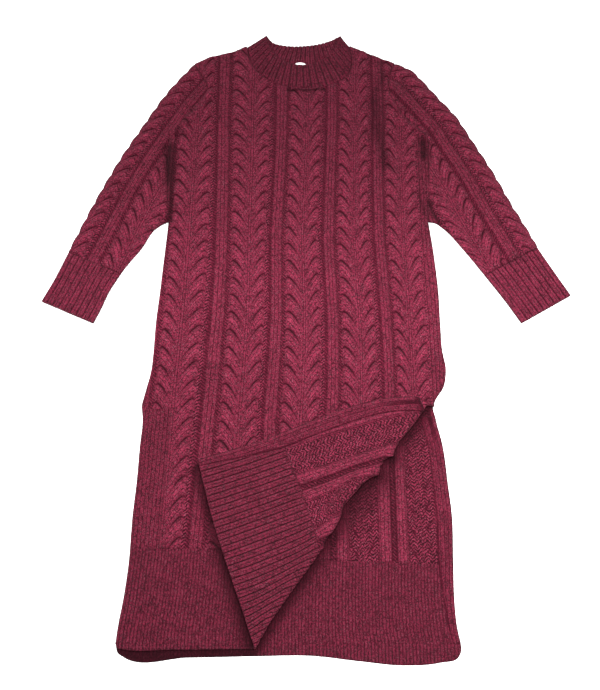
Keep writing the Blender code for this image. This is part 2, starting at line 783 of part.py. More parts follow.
def build_front():
    sides = body_sides(2, FRONT_RIB_SEAM, FRONT_NECKLINE)
    seams = [sides[k][0] for k in (1, 3, 5, 7)]
    soft = [sides[0][0], sides[2][0][sides[2][0][:, 1] > WAIST], sides[4][0], sides[6][0]]
    well_inside = in_cloth(sides, 0.003)

    def shows(x, y):
        return well_inside(x, y) & (shows_on_front(x, y) > 0) & (half_cable_only(pattern_place(x, y), y) > 0)

    def on_flap(x, y):
        return well_inside(x, y) & (past_crease(x, y) > 0.002) & (beside_band(x, y, 2) > 0.3)

    def right_side(x, y):
        p = pattern_place(x, y)
        relief = knit_height(p, y) * shows_on_front(x, y) * half_cable_only(p, y) * seam_fade(x, y, seams)
        side = np.min([nearest(x, y, line)[0] for line in soft], axis=0)
        up = SIDE_WALL + (CLOTH - SIDE_WALL + relief) * rounded(side, SIDE_ROUND)
        return place_front(x, y, up - CLOTH / 2)

    def wrong_side(x, y):
        mask = eased(past_crease(x, y), 0, 0.005) * beside_band(x, y, 2) * seam_fade(x, y, seams)
        return place_front(x, y, -CLOTH / 2 - wrong_side_height(pattern_place(x, y), y) * mask)

    upper = [*crease_lines(), *ridge_lines()]
    lower = [*crease_lines(), *band_lines(2)]
    for line in soft:
        upper += [shifted(line, by) for by in (0.0015, SIDE_ROUND)]
    for cable in range(len(CABLES)):
        upper += cable_lines(body_point, cable, -0.37, 0.60, shows)
        upper += column_lines(body_point, cable + 0.5, -0.345, 0.60, shows)
        for side in (-CABLE_SHARE, CABLE_SHARE):
            upper += column_lines(body_point, cable, -0.345, 0.60, shows, (side,))
    lower += column_lines(body_point, 3.5, -0.345, -0.1, on_flap, RIDGE_STATIONS)
    for cable in (3, 4):
        lower += cable_lines(body_point, cable, -0.35, -0.1, on_flap, (-0.9, -0.5, 0, 0.5, 0.9))
    cloth_panel("front", sides, right_side, wrong_side, upper, lower)


def rib_sides(column, seam, hem):
    """The edges of a hem rib, as (fine, plain) rows of points."""
    top_left = (float(edge_x(1, seam["left_y"])), seam["left_y"] - GAP)
    top_right = (float(edge_x(column, seam["right_y"])), seam["right_y"] - GAP)
    left = [top_left, *edge_points(1, top_left[1], hem[0][1])[1:-1], hem[0]]
    right = [hem[-1], *edge_points(column, top_right[1], hem[-1][1])[1:-1][::-1], top_right]
    rows = [left, hem, right, [top_right, top_left]]
    return [(through(row, FINE_STEP), through(row, PLAIN_STEP)) for row in rows]


def hem_rib_lines(column, seam, hem, keep):
    """Edges along the ribs of a hem, those whose middle point keep takes."""
    hem_y = hem[len(hem) // 2][1]

    def edge(which, seam_y):
        def at(t):
            y = seam_y + (hem_y - seam_y) * t
            return np.array([float(edge_x(which, y)), y])

        return at

    lines = rib_lines(edge(1, seam["left_y"]), edge(column, seam["right_y"]), range(HEM_RIBS))
    return [line for line in lines if keep(*line.mean(axis=0))]


def build_front_hem_rib():
    sides = rib_sides(2, FRONT_RIB_SEAM, FRONT_HEM)
    seam = [sides[3][0]]

    def right_side(x, y):
        ribs = rib_height(hem_phase(x, y, 2), RIB_HEIGHT) * shows_on_front(x, y) * seam_fade(x, y, seam)
        side, _ = nearest(x, y, sides[0][0])
        up = SIDE_WALL + (CLOTH - SIDE_WALL + ribs) * rounded(side, SIDE_ROUND)
        return place_front(x, y, up - CLOTH / 2)

    def wrong_side(x, y):
        mask = eased(past_crease(x, y), 0, 0.005) * beside_band(x, y, 2) * seam_fade(x, y, seam)
        return place_front(x, y, -CLOTH / 2 - rib_height(hem_phase(x, y, 2), RIB_HEIGHT) * mask)

    upper = [*crease_lines(), *(shifted(sides[0][0], by) for by in (0.0015, SIDE_ROUND))]
    upper += hem_rib_lines(2, FRONT_RIB_SEAM, FRONT_HEM, lambda x, y: x < -0.045)
    lower = [*crease_lines(), *band_lines(2)]
    lower += hem_rib_lines(2, FRONT_RIB_SEAM, FRONT_HEM, lambda x, y: -0.07 < x < edge_x(2, y) - BAND_WIDTH)
    cloth_panel("front_hem_rib", sides, right_side, wrong_side, upper, lower)


def on_floor(x, y):
    return np.column_stack([x, y, np.zeros(len(x))])


def visible_edge_lines():
    """Lines beside the folded edge, where the back's relief starts."""
    lines = []
    for by in (0.003, 0.011):
        start = ROLL_START + OUTWARD * (ROLL + CLOTH / 2 + by)
        lines.append(np.array([start - 0.1 * crease, start + 0.6 * crease]))
    return lines


def build_back():
    sides = body_sides(3, BACK_RIB_SEAM, BACK_NECKLINE)
    well_inside = in_cloth(sides, 0.003)

    def shows(x, y):
        return well_inside(x, y) & (shows_on_back(x, y) > 0) & (beside_band(x, y, 3) > 0.3)

    def wrong_side(x, y):
        mask = shows_on_back(x, y) * beside_band(x, y, 3) * seam_fade(x, y, [sides[1][0]])
        return np.column_stack([x, y, CLOTH + wrong_side_height(pattern_place(x, y), y) * mask])

    lines = [*visible_edge_lines(), *band_lines(3)]
    lines += column_lines(body_point, 3.5, -0.36, -0.1, shows, RIDGE_STATIONS)
    for cable in (3, 4):
        lines += cable_lines(body_point, cable, -0.36, -0.1, shows, (-0.9, -0.5, 0, 0.5, 0.9))
    cloth_panel("back", sides, wrong_side, on_floor, lines)


def build_back_hem_rib():
    sides = rib_sides(3, BACK_RIB_SEAM, BACK_HEM)

    def wrong_side(x, y):
        mask = shows_on_back(x, y) * beside_band(x, y, 3) * seam_fade(x, y, [sides[3][0]])
        return np.column_stack([x, y, CLOTH + rib_height(hem_phase(x, y, 3), RIB_HEIGHT) * mask])

    lines = [*visible_edge_lines(), *band_lines(3)]
    lines += hem_rib_lines(3, BACK_RIB_SEAM, BACK_HEM, lambda x, y: -0.06 < x < edge_x(3, y) - BAND_WIDTH)
    cloth_panel("back_hem_rib", sides, wrong_side, on_floor, lines)


def build_slit_band(name, column, top, bottom, lower_face, upper_face):
    """The border band on the wrong side of a slit edge: it reaches from the slit's top to the hem."""
    margin = 0.0008
    outer = [(x - margin, y) for x, y in edge_points(column, top, bottom)]
    inner = [(x - BAND_WIDTH + margin, y) for x, y in outer]
    rows = [inner, [inner[-1], outer[-1]], outer[::-1], [outer[0], inner[0]]]
    sides = [(through(row, FINE_STEP),) * 2 for row in rows]
    cloth_panel(name, sides, upper_face, lower_face, crease_lines() if column == 2 else ())


def build_slit_bands():
    def over_front(h):
        return lambda x, y: place_front(x, y, np.full(len(x), -CLOTH / 2 - h))

    def over_back(h):
        return lambda x, y: np.column_stack([x, y, np.full(len(x), CLOTH + h)])

    build_slit_band("slit_band_front", 2, SLIT_TOP, -0.4815, over_front(GAP), over_front(GAP + BAND))
    build_slit_band("slit_band_back", 3, SLIT_TOP - 0.008, -0.478, over_back(GAP), over_back(GAP + BAND))


def build_sleeve(side, fold, under, armhole, outer_on_left):
    """A sleeve from its armhole to its cuff. Its middle cable lies along the outer fold."""
    fold, under = through(fold, FINE_STEP), through(under, FINE_STEP)
    gap = GAP * 1.15 * (1 if outer_on_left else -1)
    hole = shifted(through(armhole, FINE_STEP / 1.5), gap)
    hole[0], hole[-1] = under[-1], fold[0]
    cuff_seam = straight(fold[-1], under[0], FINE_STEP)
    if outer_on_left:
        left, right, far, near = fold, under, cuff_seam, hole
    else:
        left, right, far, near = under[::-1], fold[::-1], cuff_seam[::-1], hole[::-1]
    outline = [(line, line) for line in (left, far, right, near)]
    well_inside = in_cloth(outline, 0.004)
    length = np.linalg.norm(np.diff(fold, axis=0), axis=1).sum()
    inwards = 1 if outer_on_left else -1

    def to_xy(p, along):
        at = np.concatenate([[0], np.cumsum(np.linalg.norm(np.diff(fold, axis=0), axis=1))])
        here = np.array([np.interp(-along, at, fold[:, k]) for k in (0, 1)])
        slope = np.array([np.interp(-along, at, np.gradient(fold[:, k])) for k in (0, 1)])
        slope /= np.linalg.norm(slope)
        return tuple(here + inwards * p * CABLE_PITCH * np.array([-slope[1], slope[0]]))

    def side_distance(x, y):
        return np.minimum(nearest(x, y, left)[0], nearest(x, y, right)[0])

    def top(x, y):
        away, along = nearest(x, y, fold)
        relief = knit_height(away / CABLE_PITCH, -along) * seam_fade(x, y, [far, near])
        return SPLIT + (SPLIT + relief) * rounded(side_distance(x, y), SIDE_ROUND) + lift(x, y)

    def low(x, y):
        return SPLIT * (1 - rounded(side_distance(x, y), CLOTH))

    lines = [shifted(line, by) for line in (left, right) for by in (0.0015, SIDE_ROUND)]
    lines += cable_lines(to_xy, 0, -length - CABLE_RISE, 0, well_inside, (0.15, 0.45, 0.8, 1))
    lines += cable_lines(to_xy, 1, -length - CABLE_RISE, 0, well_inside)
    lines += column_lines(to_xy, 0.5, -length, 0, well_inside)
    under_lines = [shifted(line, by) for line in (left, right) for by in (0.0008, CLOTH)]
    flat_tube(
        f"sleeve_{side}",
        left,
        right,
        {"top": (far, near), "low": (far, near)},
        {"top": top, "low": low, "top_in": lambda x, y: 0 * x + SPLIT + GAP / 2, "low_in": lambda x, y: 0 * x + SPLIT - GAP / 2},
        {"top": lines, "low": under_lines},
    )


def build_cuff(side, fold, under, outer_on_left):
    """A ribbed cuff, from the sleeve's end to its own."""
    fold, under = through(fold, FINE_STEP), through(under, FINE_STEP)
    seam, opening = straight(fold[0], under[-1], FINE_STEP), straight(fold[-1], under[0], FINE_STEP)
    if outer_on_left:
        left, right, far, near = fold, under, opening, seam[::-1]
    else:
        left, right, far, near = under[::-1], fold[::-1], opening[::-1], seam

    def along(line, t):
        return line[0] + (line[-1] - line[0]) * t

    def phase(x, y):
        a, b = nearest(x, y, left)[0], nearest(x, y, right)[0]
        return a / (a + b) * CUFF_RIBS

    def side_distance(x, y):
        return np.minimum(nearest(x, y, left)[0], nearest(x, y, right)[0])

    def top(x, y):
        relief = rib_height(phase(x, y), CUFF_RIB_HEIGHT) * seam_fade(x, y, [near], 0.004)
        return SPLIT + (SPLIT + relief) * rounded(side_distance(x, y), SIDE_ROUND)

    def low(x, y):
        return SPLIT * (1 - rounded(side_distance(x, y), CLOTH))

    lines = [shifted(line, 0.0015) for line in (left, right)]
    back = right[::-1]
    lines += [
        line
        for line in rib_lines(lambda t: along(left, t), lambda t: along(back, t), range(CUFF_RIBS))
        if side_distance(*line[1:2].T) > 0.003
    ]
    flat_tube(
        f"cuff_{side}",
        left,
        right,
        {"top": (far, near), "low": (far, near)},
        {"top": top, "low": low, "top_in": lambda x, y: 0 * x + SPLIT + GAP / 2, "low_in": lambda x, y: 0 * x + SPLIT - GAP / 2},
        {"top": lines, "low": [shifted(line, by) for line in (left, right) for by in (0.0008, CLOTH)]},
    )


BESIDE_LABEL = (0.001, 0.003)  # how far from the label the ribs beside it start and are whole
RISE_SHARES = (0.15, 0.25, 0.35, 0.5, 0.65, 0.75, 0.85)


def between(seam, rim, share, t):
    """The point that is t of the way from the seam to the rim, at the same share of both lines."""
    ends = []
    for line in (seam, rim):
        at = np.concatenate([[0], np.cumsum(np.linalg.norm(np.diff(line, axis=0), axis=1))])
        ends.append(np.array([np.interp(share * at[-1], at, line[:, k]) for k in (0, 1)]))
    return ends[0] + (ends[1] - ends[0]) * t


def collar_place(x, y, seam, rim):
    """Each point's share along the collar, and how far it is from the seam (0) to the rim (1)."""
    grid = [(share, t) for share in np.linspace(0, 1, COLLAR_RIBS * 20 + 1) for t in np.linspace(0, 1, 13)]
    at = np.array([between(seam, rim, share, t) for share, t in grid])
    best = ((x[:, None] - at[:, 0]) ** 2 + (y[:, None] - at[:, 1]) ** 2).argmin(axis=1)
    return np.array(grid)[best].T


def build_collar():
    left = through(COLLAR_LEFT[::-1], FINE_STEP)
    right = through(COLLAR_RIGHT[::-1], FINE_STEP)
    ends = {}
    for layer, neckline, rim in (("top", FRONT_NECKLINE, FRONT_RIM), ("low", BACK_NECKLINE, BACK_RIM)):
        seam = shifted(through(neckline, FINE_STEP), -GAP * 1.2)[::-1]
        rim = through(rim, FINE_STEP)[::-1]
        seam[0], seam[-1] = left[-1], right[0]
        ends[layer] = seam, rim
    front_seam, front_rim = ends["top"][0], ends["top"][1][::-1]
    back_seam, back_rim = ends["low"][0], ends["low"][1][::-1]
    front_outline = np.vstack([front_rim, right[::-1], front_seam[::-1], left[::-1]])

    def side_distance(x, y):
        return np.minimum(nearest(x, y, left)[0], nearest(x, y, right)[0])

    def open_by(x, y):
        a, b = nearest(x, y, front_seam)[0], nearest(x, y, front_rim)[0]
        return COLLAR_OPEN * np.minimum(1, a / (a + b) * 1.3) * eased(side_distance(x, y), ON_LINE, COLLAR_EASE)

    def top(x, y):
        share, _ = collar_place(x, y, front_seam, front_rim)
        ribs = rib_height(share * COLLAR_RIBS, RIB_HEIGHT) * seam_fade(x, y, [front_seam], 0.004)
        return SPLIT + (SPLIT + ribs) * rounded(side_distance(x, y), SIDE_ROUND) + open_by(x, y)

    def seen(x, y):
        clear = nearest(x, y, front_rim)[0] - np.where(inside(x, y, front_outline), 1, 0)
        beside = np.max([LABEL[0] - x, x - LABEL[1], y - LABEL[3]], axis=0)
        return eased(clear, 0.002, 0.005) * eased(beside, *BESIDE_LABEL) * eased(side_distance(x, y), 0.004, 0.008)

    def low_in(x, y):
        share, _ = collar_place(x, y, back_seam, back_rim)
        return SPLIT - GAP / 2 + (rib_height(share * COLLAR_RIBS, RIB_HEIGHT) + 0.3 * RIB_HEIGHT) * seen(x, y)

    def lines_over(seam, rim, keep):
        lines = []
        for rib in range(COLLAR_RIBS):
            for station in RIB_STATIONS:
                share = (rib + station) / COLLAR_RIBS
                line = np.array([between(seam, rim, share, t) for t in np.linspace(0, 1, 13)])
                lines += clipped(line, keep, 6)
        return lines

    def off_sides(x, y):
        return side_distance(x, y) > 0.003

    x0, x1, _, y1 = LABEL
    round_label = [
        np.array([(x0 - by, 0.57), (x0 - by, y1 + by), (x1 + by, y1 + by), (x1 + by, 0.57)]) for by in BESIDE_LABEL
    ]
    rise = [np.array([between(front_seam, front_rim, share, t) for t in (0.1, 0.5, 0.9)]) for share in RISE_SHARES]

    flat_tube(
        "collar",
        left,
        right,
        ends,
        {
            "top": top,
            "low": lambda x, y: SPLIT * (1 - rounded(side_distance(x, y), CLOTH)),
            "top_in": lambda x, y: SPLIT + GAP / 2 + open_by(x, y),
            "low_in": low_in,
        },
        {
            "top": lines_over(front_seam, front_rim, off_sides),
            "top_in": [*rise, np.array([line[1] for line in rise])],
            "low_in": [*round_label, *lines_over(back_seam, back_rim, lambda x, y: seen(x, y) > 0)],
            "low": [shifted(line, by) for line in (left, right) for by in (0.0008, CLOTH)],
        },
    )


def build_label():
    x0, x1, y0, y1 = LABEL
    corners = [(x0, y1), (x0, y0), (x1, y0), (x1, y1)]
    sides = [(through(row, LABEL_STEP),) * 2 for row in zip(corners, corners[1:] + corners[:1])]

    def at(z):
        return lambda x, y: np.column_stack([x, y, np.full(len(x), z)])

    cloth_panel("neck_label", sides, at(CLOTH + GAP + LABEL_THICKNESS), at(CLOTH + GAP), colour="white")


for thing in list(bpy.data.objects):
    bpy.data.objects.remove(thing)

build_front()
build_front_hem_rib()
build_back()
build_back_hem_rib()
build_slit_bands()
build_sleeve("left", LEFT_SLEEVE_TOP, LEFT_SLEEVE_UNDER, LEFT_ARMHOLE, True)
build_sleeve("right", RIGHT_SLEEVE_TOP, RIGHT_SLEEVE_UNDER, RIGHT_ARMHOLE, False)
build_cuff("left", LEFT_CUFF_TOP, LEFT_CUFF_UNDER, True)
build_cuff("right", RIGHT_CUFF_TOP, RIGHT_CUFF_UNDER, False)
build_collar()
build_label()
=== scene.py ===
"""The looks of a cable-knit midi sweater dress lying flat on its back, with the lower right corner of its front
folded over.

Every piece of cloth is a closed wall in fine mesh, over the same outlines and folds as the CAD model. Its cables,
columns, ribs and seams are geometry. Each corner of a face carries its place in the knit (wales and courses), from
which the material draws the stitches.
"""

import math

import bmesh
import bpy
import numpy as np
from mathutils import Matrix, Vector
from mathutils.geometry import delaunay_2d_cdt


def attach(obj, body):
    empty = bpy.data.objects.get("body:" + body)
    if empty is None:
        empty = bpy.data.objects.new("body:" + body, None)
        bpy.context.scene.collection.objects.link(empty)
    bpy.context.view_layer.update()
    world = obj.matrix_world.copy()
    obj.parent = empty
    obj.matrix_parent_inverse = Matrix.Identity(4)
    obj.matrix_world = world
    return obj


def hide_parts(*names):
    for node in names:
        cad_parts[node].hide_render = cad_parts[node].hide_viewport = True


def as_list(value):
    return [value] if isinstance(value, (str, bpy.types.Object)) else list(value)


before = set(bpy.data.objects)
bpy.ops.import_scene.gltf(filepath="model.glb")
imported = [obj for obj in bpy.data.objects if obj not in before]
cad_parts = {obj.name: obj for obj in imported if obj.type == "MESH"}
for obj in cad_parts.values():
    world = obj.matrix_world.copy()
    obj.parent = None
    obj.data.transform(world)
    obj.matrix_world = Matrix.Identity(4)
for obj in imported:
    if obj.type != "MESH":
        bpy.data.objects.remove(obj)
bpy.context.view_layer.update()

# ---- Driving dimensions ----

CLOTH = 0.003  # the knit's wall, between its cables
GAP = 0.0003  # between two pieces at a seam, and between two layers

CABLE_REPEAT = 0.0322  # from one petal of a cable to the next
CABLE_PITCH = 0.097  # from one cable's centre to the next, where the cloth lies smooth
CABLE_SHARES = (0.330, 0.290)  # of that pitch, from a cable's centre to its left and right side
CABLE_HEIGHT = 0.0055
COLUMN_HEIGHT = 0.0018  # the knit columns between the cables
RIB_HEIGHT = 0.0018
HEM_RIBS = 50
CUFF_RIBS = 9  # on the face that shows
CUFF_RIB_HEIGHT = 0.0024
COLLAR_RIBS = 22  # on the front of the neck
WRONG_SIDE_RIDGE = 0.0015  # a gutter of the right side stands up on the wrong side
WRONG_SIDE_LUMP = 0.001  # and so does a cable, a little

ROLL = 0.00465  # radius of the cloth's middle where the corner turns over
CREASE_TOP = (0.202, -0.1077)  # where the folded edge shows, at the slit's top
CREASE_END = (-0.0632, -0.4833)  # and at the hem
SLIT_TOP = -0.118
BAND_WIDTH = 0.024
BAND = 0.0022  # the slit bands' thickness
SIDE_ROUND = 0.006  # how far in from a rounded side the cloth reaches its full height
SIDE_WALL = 0.0008  # the front's wall at its rounded sides
COLLAR_OPEN = 0.0027  # how far the front of the collar's rim stands off the back's
COLLAR_EASE = 0.03  # how far in from its sides it does
LABEL = (-0.010, 0.013, 0.548, 0.5740)  # x from, x to, y from, y to
LABEL_THICKNESS = 0.0006

SPLIT = CLOTH + GAP / 2  # the height between the lower and the upper layer
FRONT_MIDDLE = CLOTH + GAP + CLOTH / 2

# The body's side seams, and its slit edges below SLIT_TOP, as cut. The front's right edge is the folded corner's.
BODY_EDGES = [  # y, left, front_right, back_right
    (0.232, -0.2305, 0.225, 0.225), (0.16, -0.2345, 0.232, 0.232), (0.1, -0.238, 0.2355, 0.2355),
    (0.04, -0.242, 0.2355, 0.2355), (-0.01, -0.243, 0.236, 0.2355), (-0.05, -0.2455, 0.24, 0.236),
    (-0.08, -0.2515, 0.233, 0.231), (-0.095, -0.2545, 0.2225, 0.221), (-0.105, -0.2565, 0.218, 0.2165),
    (-0.13, -0.254, 0.225, 0.2195), (-0.177, -0.2558, 0.235, 0.2285), (-0.237, -0.257, 0.2385, 0.233),
    (-0.29, -0.26, 0.237, 0.2365), (-0.35, -0.2607, 0.234, 0.2345), (-0.41, -0.265, 0.234, 0.2325),
    (-0.46, -0.2715, 0.236, 0.235), (-0.478, -0.2728, 0.237, 0.2385),
]
FRONT_HEM = [  # from the left corner to the right one
    (-0.2728, -0.478), (-0.269, -0.4845), (-0.26, -0.4865), (-0.19, -0.487), (-0.085, -0.486), (0.05, -0.49),
    (0.14, -0.4895), (0.19, -0.4865), (0.237, -0.483),
]
BACK_HEM = [
    (-0.2728, -0.478), (-0.27, -0.49), (-0.26, -0.497), (-0.163, -0.4975), (-0.062, -0.4955), (0.016, -0.495),
    (0.091, -0.503), (0.152, -0.5085), (0.205, -0.505), (0.234, -0.497), (0.2385, -0.488), (0.2385, -0.478),
]
# The levels of the left and right end of the seam between a panel and its hem rib.
FRONT_RIB_SEAM = (-0.338, -0.347)
BACK_RIB_SEAM = (-0.345, -0.363)

LEFT_ARMHOLE = [  # from the underarm to the shoulder
    (-0.2305, 0.232), (-0.235, 0.295), (-0.238, 0.379), (-0.236, 0.41), (-0.218, 0.439), (-0.205, 0.465),
    (-0.186, 0.485), (-0.174, 0.502), (-0.173, 0.519), (-0.186, 0.544), (-0.199, 0.569),
]
RIGHT_ARMHOLE = [  # from the underarm to the shoulder
    (0.225, 0.232), (0.229, 0.3), (0.232, 0.368), (0.232, 0.405), (0.219, 0.422), (0.202, 0.439), (0.184, 0.461),
    (0.17, 0.488), (0.165, 0.514), (0.168, 0.544), (0.179, 0.5705),
]
LEFT_NECK = (-0.1010, 0.6090)
RIGHT_NECK = (0.0940, 0.6110)
LEFT_SHOULDER = [LEFT_NECK, (-0.13, 0.596), (-0.165, 0.586), (-0.199, 0.569)]  # from the neck to the armhole
RIGHT_SHOULDER = [(0.179, 0.5705), (0.142, 0.589), (0.115, 0.601), RIGHT_NECK]  # from the armhole to the neck
FRONT_NECKLINE = [
    RIGHT_NECK, (0.098, 0.567), (0.088, 0.538), (0.06, 0.521), (0.0, 0.514), (-0.04, 0.521), (-0.072, 0.542),
    (-0.091, 0.568), LEFT_NECK,
]
BACK_NECKLINE = [RIGHT_NECK, (0.07, 0.576), (0.0, 0.56), (-0.07, 0.574), LEFT_NECK]
LEFT_EAR = (-0.0640, 0.6380)
RIGHT_EAR = (0.0770, 0.6375)
COLLAR_LEFT = [(-0.1005, 0.6096), (-0.086, 0.62), LEFT_EAR]  # from the seam to the rim
COLLAR_RIGHT = [RIGHT_EAR, (0.086, 0.622), (0.0935, 0.6116)]  # from the rim to the seam
FRONT_RIM = [
    LEFT_EAR, (-0.054, 0.602), (-0.036, 0.579), (-0.009, 0.567), (0.02, 0.567), (0.042, 0.577), (0.061, 0.596),
    RIGHT_EAR,
]
BACK_RIM = [LEFT_EAR, (-0.052, 0.62), (-0.025, 0.612), (0.01, 0.612), (0.042, 0.618), (0.064, 0.627), RIGHT_EAR]
LEFT_SLEEVE_TOP = [  # the outer fold from the shoulder to the cuff
    (-0.1994, 0.5692), (-0.245, 0.507), (-0.291, 0.424), (-0.32, 0.369), (-0.348, 0.307), (-0.371, 0.251),
    (-0.388, 0.206), (-0.4015, 0.1715),
]
LEFT_SLEEVE_UNDER = [  # from the cuff to the underarm
    (-0.308, 0.129), (-0.301, 0.141), (-0.274, 0.18), (-0.252, 0.218), (-0.24, 0.227), (-0.2309, 0.2316),
]
LEFT_CUFF_TOP = [(-0.4017, 0.171), (-0.424, 0.112), (-0.439, 0.079)]
LEFT_CUFF_UNDER = [(-0.347, 0.038), (-0.337, 0.062), (-0.324, 0.098), (-0.3082, 0.1285)]
RIGHT_SLEEVE_TOP = [  # the outer fold from the shoulder to the cuff
    (0.1794, 0.5707), (0.208, 0.555), (0.233, 0.525), (0.258, 0.49), (0.285, 0.454), (0.311, 0.403), (0.35, 0.323),
    (0.372, 0.27), (0.392, 0.227), (0.413, 0.18),
]
RIGHT_SLEEVE_UNDER = [  # from the cuff to the underarm
    (0.317, 0.127), (0.284, 0.176), (0.249, 0.22), (0.238, 0.229), (0.2254, 0.2316),
]
RIGHT_CUFF_TOP = [(0.4133, 0.1795), (0.443, 0.123), (0.461, 0.09)]
RIGHT_CUFF_UNDER = [(0.372, 0.038), (0.348, 0.079), (0.3173, 0.1265)]

# The five cables of the front and the columns between them. The cloth lies a little bunched at the right.
KNIT_LINES = [  # y, cable 1, the columns after cables 1 to 4, cable 5
    (0.453, -0.186, -0.1417, -0.0325, 0.06, 0.144, 0.186), (0.367, -0.189, -0.1385, -0.034, 0.056, 0.14, 0.18),
    (0.203, -0.193, -0.1357, -0.0409, 0.0496, 0.1383, 0.1792),
    (0.126, -0.195, -0.1351, -0.0402, 0.0522, 0.1419, 0.1815),
    (0.051, -0.198, -0.1369, -0.0395, 0.0554, 0.1453, 0.1835),
    (-0.021, -0.201, -0.1411, -0.0421, 0.0553, 0.1469, 0.184),
    (-0.074, -0.2045, -0.1434, -0.0448, 0.0546, 0.1467, 0.1835),
    (-0.125, -0.2065, -0.1465, -0.0483, 0.0515, 0.1465, 0.184),
    (-0.345, -0.2142, -0.161, -0.05, 0.0515, 0.1455, 0.188),
]

# Folds that stand up in the upper layer beside the armholes, each a rounded ridge along three points.
RIDGES = [  # x0, y0, x1, y1, x2, y2, height, half_width
    (-0.166, 0.5, -0.19, 0.456, -0.23, 0.416, 0.006, 0.013),
    (0.172, 0.482, 0.187, 0.438, 0.227, 0.408, 0.0055, 0.013),
    (-0.23, 0.39, -0.228, 0.33, -0.225, 0.28, 0.0035, 0.01),
]

# ---- The looks' own dimensions ----

MESH_STEP = 0.00235  # of the fine faces
PLAIN_MESH_STEP = 0.006  # of those that hardly show
WALE = 0.0062  # a column of stitches
COURSE = 0.0040  # a row of stitches
WALES_A_PITCH = CABLE_PITCH / WALE
CABLES = 5
PETAL_WALES = 3
PETAL_SLOPE = math.radians(62)  # of a petal's axis
GROOVE_DROP = 0.030  # from a groove's outer end to its inner one
GROOVE_START = (0.85, 1.06)  # of a repeat, on the left and right of a cable
COLUMN_HALF = 0.096  # of the pitch
LAYER_WAVE = 0.0012
STRIP_STATIONS = (0.045, 0.065, 0.225, 0.255)  # of the pitch, from a column's middle
STRIP_LINES = [side * station for side in (-1, 1) for station in STRIP_STATIONS]
COLUMN_STATIONS = (-0.155, -0.13, -0.105, -0.085, -0.03, 0.03, 0.085, 0.105, 0.13, 0.155)  # of the pitch
RIB_STATIONS = (0, 0.12, 0.28, 0.5, 0.72, 0.88)  # of a rib
CABLES_TOP, CABLES_END, GROOVES_END = 0.60, -0.345, -0.37  # levels between which a cable's edges are
FOLD_START, FOLD_END, INSIDE_END = -0.1, -0.35, -0.36  # levels between which the folded corner and inside have edges
SEAM_GAP = 0.00005  # half of the gap between a panel and its hem rib
FRONT_BAND_END, BACK_BAND_TOP, BACK_BAND_END = -0.4815, SLIT_TOP - 0.008, -0.478  # levels of the slit bands
BAND_WIDTHS = ((FRONT_BAND_END, -0.42, -0.35), (0.011, 0.016, BAND_WIDTH))  # at three levels
BAND_MARGIN = 0.0008  # how far the slit bands stay inside the cloth's edge
BESIDE_BAND = (0.0005, 0.0035)  # how far from the band the relief starts and is whole
BESIDE_FOLD = (0.003, 0.011)  # and from the folded edge
BESIDE_LABEL = (0.001, 0.003)  # and from the label
FOLDED_EDGE = ROLL + CLOTH / 2  # how far past the start of the roll the folded edge is
SIDE_STRIP = (4.25, 4.31)  # where the last cable ends, in cables
SIDE_ROWS, HEM_ROWS = (0.0006, 0.0022), (0.0006, 0.0018)  # how far in from an edge its rows of points are
HEM_ROUND = 0.002
SOFT_RIB_HEIGHT = 0.45 * RIB_HEIGHT  # of the hems' unfolded sides, where the ribs lie flat
UNDER_DEPTH, UNDER_RIBS = 0.0015, 0.0008  # how far the underside's gutters and grooves stand off the floor
UNDER_STEP, TUBE_UNDER_STEP, HIDDEN_STEP = 0.0042, 0.0036, 0.010  # of the faces underneath and inside
SWAY_WIDTH = 0.035  # how far from the crease its sway fades
# the line along which a dark shade is painted in the pocket at the slit's top
SLIT_POCKET = [(0.2030, -0.1040), (0.2065, -0.1120), (0.2075, -0.1200)]
FLAP_PULL = ((0.0, 0.14, 0.30), (0.098, 0.043, 0.020))  # at distances past the crease, in cables
# Sizes of a face's triangles where a test holds, and where it doesn't.
FRONT_STEPS = (PLAIN_MESH_STEP, MESH_STEP, lambda x, y: shows_on_front(x, y) < 0.01)
FLAP_STEPS = (MESH_STEP, PLAIN_MESH_STEP, lambda x, y: past_crease(x, y) > -0.004)
BACK_STEPS = (MESH_STEP, HIDDEN_STEP, lambda x, y: shows_on_back(x, y) > 0)

# How far the crease lies outwards of a straight line, and how far the folded edge bulges out beyond it.
CREASE_SWAY = [  # distance down the crease, sway, bulge
    (0.0, 0.004, 0.0), (0.05, 0.003, 0.0), (0.085, 0.0, -0.0015), (0.095, -0.0005, 0.001), (0.101, -0.0008, 0.0042),
    (0.108, -0.001, 0.003), (0.117, -0.0015, -0.001), (0.127, -0.002, -0.003), (0.1335, -0.0025, 0.0015),
    (0.14, -0.0035, 0.0045), (0.154, -0.006, 0.001), (0.17, -0.009, -0.001), (0.186, -0.011, 0.0),
    (0.212, -0.014, -0.001), (0.237, -0.0095, 0.001), (0.258, -0.007, 0.0), (0.271, -0.006, 0.001),
    (0.31, -0.0045, 0.0), (0.367, -0.006, 0.0), (0.421, -0.006, 0.0), (0.461, -0.002, 0.0),
]
